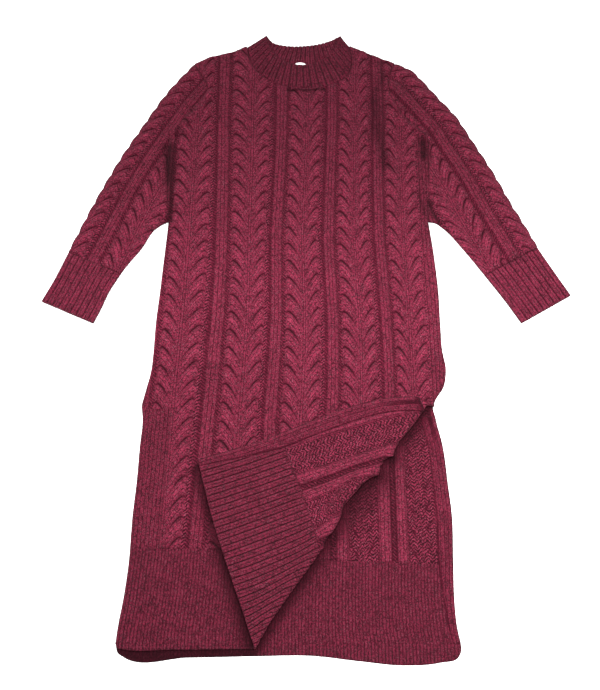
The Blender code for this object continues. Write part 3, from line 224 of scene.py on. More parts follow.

# Painted shade in deep folds, or painted light where the depth is below 0, along the body's sides, each along three
# points.
PITS = [  # x0, y0, x1, y1, x2, y2, depth, width
    (-0.2367, 0.381, -0.235, 0.3472, -0.2314, 0.3119, 0.72, 0.012),
    (-0.2314, 0.3119, -0.2275, 0.271, -0.2275, 0.2331, 0.62, 0.006),
    (-0.226, 0.408, -0.21, 0.44, -0.196, 0.47, 0.35, 0.005),
    (0.2239, 0.398, 0.2241, 0.381, 0.2231, 0.362, 0.75, 0.0075),
    (0.229, 0.27, 0.233, 0.245, 0.244, 0.23, 0.55, 0.006), (0.211, 0.295, 0.214, 0.27, 0.219, 0.244, 0.45, 0.0035),
    (0.158, 0.544, 0.139, 0.496, 0.1368, 0.4876, 0.35, 0.009),
    (0.1368, 0.4876, 0.1412, 0.4501, 0.1417, 0.4067, 0.5, 0.0115),
    (0.1417, 0.4067, 0.1498, 0.3746, 0.1558, 0.341, 0.45, 0.011),
    (-0.0223, 0.5105, 0.0111, 0.506, 0.0446, 0.5105, 0.75, 0.0032),
    (-0.2363, 0.1719, -0.2441, 0.0957, -0.2461, 0.0131, -0.22, 0.02),
    (0.226, 0.1719, 0.2323, 0.0957, 0.2312, 0.0131, -0.25, 0.02),
]


# ---- Curves and distances ----

ON_LINE = 3e-6  # a point this near to a line counts as on it
CHUNK = 3000  # points handled at once


def lengths(line):
    """How far along a line each of its points is."""
    return np.concatenate([[0], np.cumsum(np.linalg.norm(np.diff(line, axis=0), axis=1))])


def point_at(at, along, line):
    """The points at the given places of a line, whose own points are at the places along."""
    return np.column_stack([np.interp(at, along, column) for column in line.T])


def through(points, step):
    """Points about step apart along a smooth curve through the given ones."""
    p = np.array(points, float)
    gaps = np.linalg.norm(np.diff(p, axis=0), axis=1)[:, None]
    slopes = np.diff(p, axis=0) / gaps
    middle = (slopes[:-1] * gaps[1:] + slopes[1:] * gaps[:-1]) / (gaps[:-1] + gaps[1:])
    tangents = np.vstack([slopes[:1], middle, slopes[-1:]])
    out = []
    for a, b, gap, start, end in zip(p, p[1:], gaps[:, 0], tangents, tangents[1:]):
        count = max(1, math.ceil(gap / step))
        t = np.arange(count)[:, None] / count
        from_a = (2 * t**3 - 3 * t**2 + 1) * a + (t**3 - 2 * t**2 + t) * gap * start
        out.append(from_a + (3 * t**2 - 2 * t**3) * b + (t**3 - t**2) * gap * end)
    return np.vstack([*out, p[-1:]])


def edge_x(column, y):
    """Where a body edge is at the given levels."""
    levels, *edges = np.array(BODY_EDGES).T
    return np.interp(-np.asarray(y), -levels, edges[column - 1])


def edge_points(column, top, bottom):
    """A body edge as (x, y) points between two levels, the ends included."""
    inner = [(row[column], row[0]) for row in BODY_EDGES if bottom + 1e-3 < row[0] < top - 1e-3]
    return [(float(edge_x(column, top)), top), *inner, (float(edge_x(column, bottom)), bottom)]


def nearest(x, y, line):
    """How far each point is from the line, and how far along the line it is."""
    a, d, start = line[:-1], np.diff(line, axis=0), lengths(line)
    length = np.linalg.norm(d, axis=1)
    away, along = np.empty((2, len(x)))
    for first in range(0, len(x), CHUNK):
        part = slice(first, first + CHUNK)
        px, py = np.subtract.outer(x[part], a[:, 0]), np.subtract.outer(y[part], a[:, 1])
        t = np.clip((px * d[:, 0] + py * d[:, 1]) / length**2, 0, 1)
        square = (px - t * d[:, 0]) ** 2 + (py - t * d[:, 1]) ** 2
        best = square.argmin(axis=1)
        row = np.arange(len(best))
        away[part], along[part] = np.sqrt(square[row, best]), start[best] + t[row, best] * length[best]
    return away, along


def distance(x, y, *lines):
    """How far each point is from the nearest of the lines."""
    return np.min([nearest(x, y, line)[0] for line in lines], axis=0)


def inside(x, y, outline):
    """Whether each point is inside the closed outline."""
    a, b = outline, np.roll(outline, -1, axis=0)
    rise = np.where(a[:, 1] == b[:, 1], 1, b[:, 1] - a[:, 1])
    found = np.empty(len(x), bool)
    for first in range(0, len(x), CHUNK):
        px, py = x[first : first + CHUNK, None], y[first : first + CHUNK, None]
        crosses = (a[:, 1] > py) != (b[:, 1] > py)
        at = a[:, 0] + (py - a[:, 1]) * (b[:, 0] - a[:, 0]) / rise
        found[first : first + CHUNK] = (crosses & (px < at)).sum(axis=1) % 2 == 1
    return found


def shifted(line, by):
    """The line moved sideways, to its left as it runs where by is above 0."""
    d = np.gradient(line, axis=0)
    d /= np.linalg.norm(d, axis=1)[:, None]
    return line + by * np.column_stack([-d[:, 1], d[:, 0]])


def trimmed(line, by):
    """The line without the stretch of that length at each end."""
    along = lengths(line)
    inner = line[(along > by * 1.5) & (along < along[-1] - by * 1.5)]
    ends = point_at([by, along[-1] - by], along, line)
    return np.vstack([ends[:1], inner, ends[1:]])


def eased(value, low, high):
    """0 up to low and 1 from high on, with a smooth way between."""
    t = np.clip((value - low) / (high - low), 0, 1)
    return t * t * (3 - 2 * t)


def rounded(away, width):
    """A quarter circle's height over a side: 0 at the side, and 1 from width on."""
    t = 1 - np.clip((away - ON_LINE) / width, 0, 1)
    return np.sqrt(1 - t * t)


def fading(value, width):
    """1 at 0, fading away like a bell over the width."""
    return np.exp(-((value / width) ** 2))


def at_height(x, y, z):
    return np.column_stack([x, y, z + 0 * x])


# ---- Knit relief ----


def knit_lines(y):
    """The x of every half cable pitch from the first cable to the last, at each level."""
    levels, *rows = np.array(KNIT_LINES).T
    first, *columns, last = (np.interp(-np.asarray(y), -levels, row) for row in rows)
    lines = [first]
    for here, after in zip(columns, [*columns[1:], None]):
        lines += [here, last if after is None else (here + after) / 2]
    return lines


def pattern_place(x, y):
    """How many cables from the leftmost one a point of the body is: cables lie at 0 to 4."""
    lines = knit_lines(y)
    p = (x - lines[0]) / CABLE_PITCH
    for k, (here, after) in enumerate(zip(lines, lines[1:])):
        p = np.where(x > here, (k + (x - here) / (after - here)) / 2, p)
    return np.where(x > lines[-1], (len(lines) - 1) / 2 + (x - lines[-1]) / CABLE_PITCH, p)


def pattern_x(p, y):
    """The x of a pattern place at a level."""
    lines = [float(line) for line in knit_lines(y)]
    last = (len(lines) - 1) / 2
    beyond = CABLE_PITCH * (min(p, 0) + max(p - last, 0))
    return float(np.interp(p, np.arange(len(lines)) / 2, lines)) + beyond


def groove_drop(a):
    """How far below its outer end a groove between two petals is, a of the way from the middle to the side."""
    end = 0.004 * np.clip((a - 0.85) / 0.15, 0, 1.2) ** 2
    return GROOVE_DROP * np.clip((1 - a) / 0.8, 0, 1.25) ** 1.6 + end


def petal_phase(q, along):
    """The number of petals up one side of a cable, whole at the grooves."""
    start = np.where(q < 0, *GROOVE_START)
    return (along + groove_drop(np.abs(q))) / CABLE_REPEAT - start


def petal_bow(q, along):
    """0 in the middle of a petal, and 1 at the grooves beside it."""
    return (2 * (petal_phase(q, along) % 1) - 1) ** 2


def cable_share(from_middle):
    """The share of the pitch from a cable's middle to its side."""
    return np.where(from_middle < 0, *CABLE_SHARES)


def across_cable(p, cable):
    """Where a pattern place lies across a cable, which reaches from -1 to 1."""
    return (p - cable) / cable_share(p - cable)


def from_column(p):
    """How far a pattern place is from the middle of the column between two cables, below 0 to its left."""
    return p - np.floor(p) - 0.5


def petal_height(q, along):
    """The relief of a cable, q from -1 to 1 over its width, and how deep in a groove each point is."""
    a, bow = np.abs(q), petal_bow(q, along)
    groove = np.interp(a, [0.1, 0.3, 0.5, 0.75, 1], [0, 0.25, 0.75, 1, 1])
    stations = [0, 0.2, 0.45, 0.7, 0.88, 0.96, 1]
    across = np.interp(a / (1 - 0.15 * bow), stations, [0.55, 0.60, 0.85, 1, 0.85, 0.55, 0])
    height = CABLE_HEIGHT * across * (1 - groove * (1 - np.sqrt(np.clip(1 - bow, 0, 1))))
    return height, groove * np.clip((bow - 0.60) / 0.40, 0, 1) ** 1.8


def knit_height(p, along):
    """The right side's relief: cables at whole numbers of p, and knit columns between them."""
    q = across_cable(p, np.round(p))
    stations = [0, 0.05, 0.085, 0.105, 0.130, 0.155, 0.175]
    column = COLUMN_HEIGHT * np.interp(np.abs(from_column(p)), stations, [1, 1, 0.85, -0.3, -0.8, -0.5, -0.2])
    return np.where(np.abs(q) < 1, petal_height(q, along)[0] - 0.2 * COLUMN_HEIGHT * np.abs(q), column)


def wrong_side_height(p, along):
    """The wrong side's relief: the gutters stand up as smooth strips, and the cables as low lumps."""
    height, _ = petal_height(across_cable(p, np.round(p)), along)
    beside = np.abs(from_column(p))
    strip = WRONG_SIDE_RIDGE * 1.5 * np.interp(beside, [0, *STRIP_STATIONS], [-0.4, -0.4, 1, 1, 0])
    return np.where(beside > STRIP_STATIONS[-1], WRONG_SIDE_LUMP * (height / CABLE_HEIGHT - 0.3), strip)


def rib_height(phase, height):
    """A rib's relief, one rib for each whole number of phase."""
    return height * np.interp(phase % 1, [0, 0.10, 0.26, 0.5, 0.74, 0.90, 1], [-0.6, 0.5, 1, 0.7, 1, 0.5, -0.6])


def under_height(height):
    """How far the underside of the cloth stands off the floor, for a relief of the right side."""
    return UNDER_DEPTH * (1 - np.clip(height / CABLE_HEIGHT, 0, 1))


def knit_look(p, along, at_p, wrong=0, dark_side=-1):
    """Wales, courses, purl, painted shade and brightness at the corners of faces whose middles are at_p; the brightness
    holds painted light and shade. wrong is how dark the painted shade in the pits between the cables' loops is on the
    wrong side, or 0 for the right side. dark_side is the side of a column whose gutter gets the darker painted shade."""
    k = np.round(at_p)
    q, at_q, beside = across_cable(p, k), across_cable(at_p, k), from_column(p)
    side = np.where(at_q < 0, -1, 1)
    sided = np.where(q * side > 0, q, side * 1e-3)
    q, cable, at_beside = np.abs(q), np.abs(at_q) < 1, np.abs(from_column(at_p))
    groove, bow = petal_height(sided, along)[1], petal_bow(sided, along)
    column = np.floor(at_p) + 0.5
    wales, courses = (p - column) * WALES_A_PITCH + 0.5 + 20 * column, along / COURSE
    if wrong:
        strip = (at_beside > STRIP_STATIONS[0]) & (at_beside < STRIP_STATIONS[3])
        # Painted shade along the strips' edges and in the pits between the cables' loops, painted light on the raised
        # strips, and painted shade in the dip between them
        stations = [0, 0.030, 0.048, 0.066, 0.225, 0.248, 0.275]
        edge = np.interp(np.abs(beside), stations, [0.30, 0.35, 0.85, 0, 0, 0.60, 0])
        pits = np.where(q < 1, np.minimum(1, wrong * groove) * fading(q - 0.4, 0.22), 0)
        bright = np.interp(np.abs(beside), [0.050, 0.070, 0.220, 0.250], [0.57, 0.90, 0.90, 0.70])
        return wales, courses, np.where(strip, 0.0, 1.0), np.maximum(edge, pits), bright
    petal = (np.abs(at_q) > 0.15) & cable
    slanted = (along * math.sin(PETAL_SLOPE) + np.abs(p - k) * CABLE_PITCH * math.cos(PETAL_SLOPE)) / COURSE
    # Painted shade in the gutters beside each column, darker on the dark_side as if the light came from the other side,
    # and in scallops where the grooves meet the gutter
    stations = [0.088, 0.102, 0.118, 0.134, 0.150, 0.185]
    dark = np.interp(dark_side * beside, stations, [0, 0.50, 0.72, 0.60, 0.32, 0])
    light = np.interp(-dark_side * beside, stations, [0, 0.36, 0.48, 0.40, 0.20, 0])
    # Painted light on the petals' crowns and painted shade towards their grooves; the grooves' painted shade is darker
    # on a cable's left than on its right
    lobe = np.interp(q, [0.2, 0.45, 0.85, 1], [0, 1, 1, 0.4])
    notch = 0.30 * np.clip((bow - 0.4) / 0.6, 0, 1) * fading(q - 1, 0.12) * (at_q < 0)
    return (
        np.where(petal, petal_phase(sided, along) * PETAL_WALES, wales),
        np.where(petal, slanted, courses),
        np.select([(at_beside > COLUMN_HALF) & ~cable, cable], [1.0, 0.18], 0.0),
        np.where(cable, groove * np.where(at_q < 0, 1, 0.6), np.maximum(dark, light) + notch),
        np.where(cable, 0.79 + lobe * (0.19 - 0.38 * bow), 0.76),
    )


def rib_look(phase, along, groove=(0.5, 0.14), bright=0.6, grooves=1):
    """The same for ribs of two wales each, with painted shade in grooves so dark and so wide, one or two to a rib, and
    a brightness that holds painted light and shade.
    """
    depth, width = groove
    side = (0.5 - np.abs(phase * grooves % 1 - 0.5)) / grooves
    cavity_shade = np.interp(side, [0, 0.4 * width, width], [depth, 0.7 * depth, 0])
    return phase * 2, along / COURSE, np.zeros(len(phase)), cavity_shade, np.full(len(phase), bright)


def hem_phase(x, y, column):
    """The number of ribs from the left edge of a hem to each point."""
    left, right = edge_x(1, y), edge_x(column, y)
    return (x - left) / (right - left) * HEM_RIBS


# ---- The folded corner ----

CREASE = np.subtract(CREASE_END, CREASE_TOP) / np.linalg.norm(np.subtract(CREASE_END, CREASE_TOP))
OUTWARD = np.array([-CREASE[1], CREASE[0]])  # in the cut, from the crease towards the folded corner
ROLL_START = np.array(CREASE_TOP) - OUTWARD * (ROLL + CLOTH / 2)


def sway_at(along, out):
    """How far outwards the crease lies of its straight line, felt at a distance out from that line."""
    places, sways, _ = zip(*CREASE_SWAY)
    bend = 0.018 * (np.maximum(-along, 0) / 0.0081) ** 1.5  # above the straight part, where it meets the side
    return bend + np.interp(along, places, sways) * fading(out, SWAY_WIDTH)


def along_crease(x, y):
    """How far down the crease, from the slit's top, a point of the cut lies."""
    return (x - ROLL_START[0]) * CREASE[0] + (y - ROLL_START[1]) * CREASE[1]


def past_crease(x, y):
    """How far past the start of the roll a point of the cut lies."""
    out = (x - ROLL_START[0]) * OUTWARD[0] + (y - ROLL_START[1]) * OUTWARD[1]
    return out - sway_at(along_crease(x, y), out)


def bulge(x, y):
    """How far the folded edge bulges out beside a point of the cut."""
    places, _, bulges = zip(*CREASE_SWAY)
    return np.interp(along_crease(x, y), places, bulges)


def wave(x, y):
    """The slow rise and fall of the upper layer."""
    return LAYER_WAVE * (
        1
        + 0.6 * np.sin(x * 31 + y * 9 + 0.7)
        + 0.5 * np.sin(y * 23 - x * 12 + 2.1) * np.sin(x * 17 + 1.3)
        + 0.4 * np.sin(y * 47 + x * 21)
    )


def from_bends(x, y, bends):
    """For each row of three points and two numbers: how far each point is from the curve, and those numbers."""
    for x0, y0, x1, y1, x2, y2, size, width in bends:
        yield distance(x, y, through([(x0, y0), (x1, y1), (x2, y2)], 0.01)), size, width


def lift(x, y):
    """How far the waves and the ridges beside the armholes raise the upper layer."""
    up = 0 * x
    for away, height, half_width in from_bends(x, y, RIDGES):
        up = np.maximum(up, height * np.cos(np.clip(away / half_width, 0, 1) * math.pi / 2) ** 2)
    return up + wave(x, y)


def place_front(x, y, h):
    """Where a point of the front lies: x and y in the flat cut, and h above the cloth's middle, to its right side."""
    past = past_crease(x, y)
    turn = np.clip(past / ROLL, 0, math.pi)
    out = np.where(past > 0, (ROLL + bulge(x, y) - h) * np.sin(turn) - np.maximum(past - math.pi * ROLL, 0), past)
    z = FRONT_MIDDLE + lift(x, y) + np.where(past > 0, ROLL - (ROLL - h) * np.cos(turn), h)
    return np.column_stack([x + (out - past) * OUTWARD[0], y + (out - past) * OUTWARD[1], z])


def folded_above(x, y):
    """The place in the cut that is folded above a point of the front, and how far it is above the hem's line."""
    over = math.pi * ROLL - 2 * past_crease(x, y)
    mx, my = x + over * OUTWARD[0], y + over * OUTWARD[1]
    return mx, my, my - np.interp(mx, *zip(*FRONT_HEM))


def shows_on_front(x, y):
    """1 where the front's right side shows, and 0 under the folded corner and past the crease."""
    mx, my, from_hem = folded_above(x, y)
    covered = eased(np.minimum(edge_x(2, my) - mx, from_hem), 0.008, 0.016)
    return (1 - covered) * (1 - eased(past_crease(x, y), -0.012, -0.004))


def shows_on_back(x, y):
    """1 where the back's inside shows, past the folded edge."""
    return eased(past_crease(x, y) - FOLDED_EDGE, *BESIDE_FOLD)


def beside_crease(past):
    """A line in the flat cut, the same distance past the start of the roll all along."""
    along = np.concatenate([np.linspace(-0.016, 0, 13)[:-1], np.arange(0, 0.6, MESH_STEP)])
    out = np.full(len(along), float(past))
    for _ in range(20):
        out = past + sway_at(along, out)
    return ROLL_START + along[:, None] * CREASE + out[:, None] * OUTWARD


def crease_lines(sides):
    """Lines along the roll, in the flat cut, from edge to edge of the outline."""
    return within([beside_crease(share * math.pi * ROLL) for share in np.linspace(0, 1, 15)], sides)


def within(lines, sides, margin=0.001):
    """The stretches of lines inside the outline."""
    keep = in_cloth(sides, margin)
    return [run for line in lines for run in clipped(line, keep)]


def edge_rows(lines, steps, sides):
    """Rows of points beside edges, a few steps in, inside the outline."""
    return within([shifted(line, by) for line in lines for by in steps], sides, 0.0004)


# ---- Meshes ----


def lattice(outline, lines, step):
    """The points of a triangular lattice inside the outline, clear of it and of the lines."""
    low, high = outline.min(axis=0), outline.max(axis=0)
    cell = step * 0.5
    taken = np.zeros(np.ceil((high - low) / cell).astype(int) + 5, bool)
    ring = np.vstack([outline, outline[:1]])
    for line in [ring, *lines]:
        count = np.ceil(np.linalg.norm(np.diff(line, axis=0), axis=1) / cell * 2).astype(int) + 1
        for a, b, n in zip(line, line[1:], count):
            cells = np.floor((a + (b - a) * np.linspace(0, 1, n)[:, None] - low) / cell).astype(int) + 2
            cells = cells[((cells >= 0) & (cells < taken.shape)).all(axis=1)]
            taken[cells[:, 0], cells[:, 1]] = True
    grown = taken.copy()
    for shift, axis in ((1, 0), (-1, 0), (1, 1), (-1, 1)):
        grown |= np.roll(taken, shift, axis)
    a, b = ring[:-1], ring[1:]
    rows = []
    for k, y in enumerate(np.arange(low[1] + step / 2, high[1], step * 0.866)):
        hit = (a[:, 1] > y) != (b[:, 1] > y)
        at = a[hit, 0] + (y - a[hit, 1]) * (b[hit, 0] - a[hit, 0]) / (b[hit, 1] - a[hit, 1])
        x = np.arange(low[0] + k % 2 * step / 2, high[0], step)
        x = x[np.searchsorted(np.sort(at), x) % 2 == 1]
        rows.append(np.column_stack([x, y + 0 * x]))
    found = np.vstack(rows)
    cells = np.floor((found - low) / cell).astype(int) + 2
    return found[~grown[cells[:, 0], cells[:, 1]]]


def triangulate(outline, lines, step):
    """Triangles over a flat outline, with edges along the lines: points, faces, and the rim's points in order.
    step is one number, or one where a test holds, one where it doesn't, and the test."""
    rows = [np.vstack([outline, outline[:1]]), *lines]
    starts = np.cumsum([0] + [len(row) for row in rows])
    unique, number = np.unique(np.round(np.vstack(rows), 6), axis=0, return_inverse=True)
    edges = []
    for a, b in zip(starts, starts[1:]):
        ids = number.reshape(-1)[a:b].tolist()
        edges += [(i, j) for i, j in zip(ids, ids[1:]) if i != j]
    if isinstance(step, tuple):
        near, far = (lattice(outline, lines, size) for size in step[:2])
        grid = np.vstack([near[step[2](*near.T)], far[~step[2](*far.T)]])
    else:
        grid = lattice(outline, lines, step)
    found = delaunay_2d_cdt([Vector(p) for p in np.vstack([unique, grid])], edges, [], 1, 1e-6)
    used, faces = np.unique(np.array(found[2], int), return_inverse=True)
    flat, faces = np.array([tuple(p) for p in found[0]], float)[used], faces.reshape(-1, 3)
    a, b, c = flat[faces].transpose(1, 0, 2)
    area = (b[:, 0] - a[:, 0]) * (c[:, 1] - a[:, 1]) - (b[:, 1] - a[:, 1]) * (c[:, 0] - a[:, 0])
    faces = np.where((area < 0)[:, None], faces[:, ::-1], faces)
    return flat, faces, rim_of(faces)


def rim_of(faces):
    """The boundary of a surface as one ring of point numbers."""
    ends = np.concatenate([faces[:, [0, 1]], faces[:, [1, 2]], faces[:, [2, 0]]])
    pairs = {tuple(pair) for pair in ends}
    after = {a: b for a, b in pairs if (b, a) not in pairs}
    ring = [min(after)]
    while len(ring) < len(after):
        ring.append(after[ring[-1]])
    return ring


def zipped(ring_a, at_a, ring_b, at_b):
    """Triangles between two rows of points whose places along the same line are at_a and at_b."""
    faces, i, j = [], 0, 0
    while i < len(ring_a) - 1 or j < len(ring_b) - 1:
        if i < len(ring_a) - 1 and (j == len(ring_b) - 1 or at_a[i + 1] <= at_b[j + 1]):
            faces.append((ring_a[i], ring_a[i + 1], ring_b[j]))
            i += 1
        else:
            faces.append((ring_a[i], ring_b[j + 1], ring_b[j]))
            j += 1
    return faces


def stretch(flat, ring, line):
    """The part of a rim from one end of a line to the other, with each point's place along the line."""

    def closest(end):
        return np.linalg.norm(flat[ring] - end, axis=1).argmin()

    first = closest(line[0])
    ring = ring[first:] + ring[:first]
    last = closest(line[-1])
    part = ring[: last + 1] if last else [*ring, ring[0]]
    _, at = nearest(*flat[part].T, line)
    at[0], at[-1] = 0.0, np.linalg.norm(np.diff(line, axis=0), axis=1).sum()
    return part, at


class Skin:
    """The parts of one closed piece: points with their flat places, and faces with the look that each part has."""

    def __init__(self):
        self.points, self.flat, self.faces, self.looks = [], [], [], []

    def add(self, flat, place, faces, look):
        """Adds points and their faces, and returns the number of the first one."""
        first = sum(len(rows) for rows in self.flat)
        self.points.append(place(*flat.T))
        self.flat.append(flat)
        self.wall(np.add(faces, first), look)
        return first

    def wall(self, faces, look):
        """Adds faces between points that are there."""
        self.faces.append(np.asarray(faces))
        self.looks.append(look)

    def build(self, name, colour):
        """Makes the object, with the place in the knit as UV and the look as colour at each corner of a face."""
        points, flat, faces = (np.vstack(rows) for rows in (self.points, self.flat, self.faces))
        part = np.repeat(np.arange(len(self.faces)), [len(rows) for rows in self.faces])
        data = np.ones((len(faces), 3, 6))
        for k, look in enumerate(self.looks):
            corners = flat[faces[part == k]]
            middle = np.repeat(corners.mean(axis=1), 3, axis=0)
            data[part == k, :, :5] = np.column_stack(look(*corners.reshape(-1, 2).T, *middle.T)).reshape(-1, 3, 5)
        _, keep, number = np.unique(np.round(points / 2e-6), axis=0, return_index=True, return_inverse=True)
        faces, points = number.reshape(-1)[faces], points[keep]
        whole = (faces != np.roll(faces, 1, axis=1)).all(axis=1)
        faces, data = faces[whole], data[whole]
        mesh = bpy.data.meshes.new(name)
        mesh.from_pydata(points, [], faces)
        mesh.uv_layers.new(name="knit").data.foreach_set("uv", data[..., :2].ravel())
        mesh.color_attributes.new("look", "FLOAT_COLOR", "CORNER").data.foreach_set("color", data[..., 2:].ravel())
        turned = bmesh.new()
        turned.from_mesh(mesh)
        bmesh.ops.recalc_face_normals(turned, faces=turned.faces)
        if turned.calc_volume(signed=True) < 0:
            bmesh.ops.reverse_faces(turned, faces=turned.faces)
        turned.to_mesh(mesh)
        turned.free()
        mesh.shade_smooth()
        mesh.set_sharp_from_angle(angle=math.radians(75))
        mesh.materials.append(MATERIALS[colour])
        piece = bpy.data.objects.new(name, mesh)
        bpy.context.scene.collection.objects.link(piece)
        return piece


def finish_piece(skin, node, rests_on, slot="burgundy_knit", along=(0, 1)):
    """Builds a piece, ties it to its body, node and slot. along is the direction of its length, and is not used."""
    piece = skin.build(f"{node}_cloth", slot)
    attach(piece, "root")
    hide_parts(node)
    along = np.array(along) / np.hypot(*along)
    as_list(rests_on)


def cloth_panel(node, sides, upper, lower, rests_on, slot="burgundy_knit"):
    """A wall of cloth between two faces over one outline. sides are its edges as (fine, plain) rows of points
    that share their ends, anticlockwise. upper and lower are (place, look, lines, step)."""
    skin, rims = Skin(), []
    for (place, look, lines, step), rows in zip((upper, lower), zip(*sides)):
        flat, faces, rim = triangulate(np.vstack([row[:-1] for row in rows]), lines, step)
        rims.append((skin.add(flat, place, faces, look), flat, rim))
    for fine, _ in sides:
        (top, at_top), (low, at_low) = (stretch(flat, rim, fine) for _, flat, rim in rims)
        skin.wall(zipped([i + rims[0][0] for i in top], at_top, [i + rims[1][0] for i in low], at_low), upper[1])
    finish_piece(skin, node, rests_on, slot)


def flat_tube(node, left, right, ends, layers, along=(0, 1)):
    """A flattened tube of cloth. left runs from its first open end to its second, and right runs back: both are
    folded sides. ends gives each layer's second end, from left to right, and its first end, from right to left.
    layers gives (place, look, lines, step) for the outer and inner face of each layer."""
    skin, rims = Skin(), {}

    def add_skin(key, *lines_around):
        place, look, lines, step = layers[key]
        flat, found, rim = triangulate(np.vstack([line[:-1] for line in lines_around]), lines, step)
        first = skin.add(flat, place, found, look)
        for side, line in zip(("left", "far", "right", "near"), lines_around):
            part, at = stretch(flat, rim, line)
            rims[key, side] = [i + first for i in part], at

    def side_in(line, far, near):
        line = shifted(line, CLOTH)[1:-1]
        return line[distance(*line.T, far, near) > 0.8 * CLOTH]

    for layer in ("top", "low"):
        far, near = ends[layer]
        far_in, near_in = trimmed(far, CLOTH), trimmed(near, CLOTH)
        left_in = np.vstack([near_in[-1], side_in(left, far, near), far_in[0]])
        right_in = np.vstack([far_in[-1], side_in(right, far, near), near_in[0]])
        add_skin(layer, left, far, right, near)
        add_skin(layer + "_in", left_in, far_in, right_in, near_in)
        for end in ("far", "near"):
            (outer, at_outer), (inner, at_inner) = rims[layer, end], rims[layer + "_in", end]
            skin.wall(zipped(outer, at_outer, inner, at_inner + CLOTH), layers[layer][1])
    for side in ("left", "right"):
        (top, at_top), (low, at_low) = rims["top_in", side], rims["low_in", side]
        skin.wall(zipped(top, at_top / at_top[-1], low, at_low / at_low[-1]), layers["top_in"][1])
    for end in ("far", "near"):
        rows = np.array([[rims[key, end][0][at] for at in (0, -1)] for key in ("top", "top_in", "low_in")])
        skin.wall(rows.T, layers["top"][1])
    finish_piece(skin, node, [], along=along)


# ---- Materials ----

# deep, red, bright and grey are the heathered yarn's own colours; dark is painted shade between the stitches, and shade
# and pit are painted shade in grooves, gutters and folds, pit where it is deepest
YARN = {
    "deep": (0.0290, 0.0032, 0.0073, 1.0),
    "red": (0.1040, 0.0095, 0.0237, 1.0),
    "bright": (0.2080, 0.0165, 0.0395, 1.0),
    "grey": (0.1480, 0.0500, 0.0690, 1.0),
    "dark": (0.0130, 0.0018, 0.0038, 1.0),
    "shade": (0.0350, 0.0020, 0.0070, 1.0),
    "pit": (0.0060, 0.0021, 0.0030, 1.0),
}


class Shader:
    """Builds a node tree: every call adds one node and returns its output socket."""

    def __init__(self, name):
        self.material = bpy.data.materials.new(name)
        self.material.use_nodes = True
        self.tree = self.material.node_tree
        self.surface = self.tree.nodes["Principled BSDF"]

    def node(self, kind, inputs=(), output=0, **settings):
        node = self.tree.nodes.new("ShaderNode" + kind)
        for key, value in settings.items():
            setattr(node, key, value)
        self.feed(node, dict(inputs))
        return node.outputs[output]

    def feed(self, node, inputs):
        """Links sockets to a node's inputs, and sets numbers on them."""
        for key, value in inputs.items():
            if isinstance(value, bpy.types.NodeSocket):
                self.tree.links.new(value, node.inputs[key])
            else:
                node.inputs[key].default_value = value

    def math(self, operation, a, b=0.0, c=0.0):
        return self.node("Math", {0: a, 1: b, 2: c}, operation=operation)

    def scaled(self, value, by, plus):
        return self.math("MULTIPLY_ADD", value, by, plus)

    def product(self, a, b):
        return self.math("MULTIPLY", a, b)

    def arch(self, value, power):
        """Rises and falls with each whole number of the value, from 0 to 1 and back."""
        return self.math("POWER", self.math("SINE", self.product(self.math("FRACT", value), math.pi)), power)

    def curve(self, value, start, end):
        """The value passed through a straight line between two (value, result) stops."""
        ramp = self.node("ValToRGB", {0: value})
        for element, (at, result) in zip(ramp.node.color_ramp.elements, (start, end)):
            element.position, element.color = at, (result, result, result, 1)
        return ramp

    def mix(self, share, a, b, blend="MIX"):
        return self.node("Mix", {0: share, 6: a, 7: b}, 2, data_type="RGBA", blend_type=blend)

    def noise(self, vector, scale, detail=2.0, roughness=0.6):
        return self.node("TexNoise", {"Vector": vector, "Scale": scale, "Detail": detail, "Roughness": roughness})


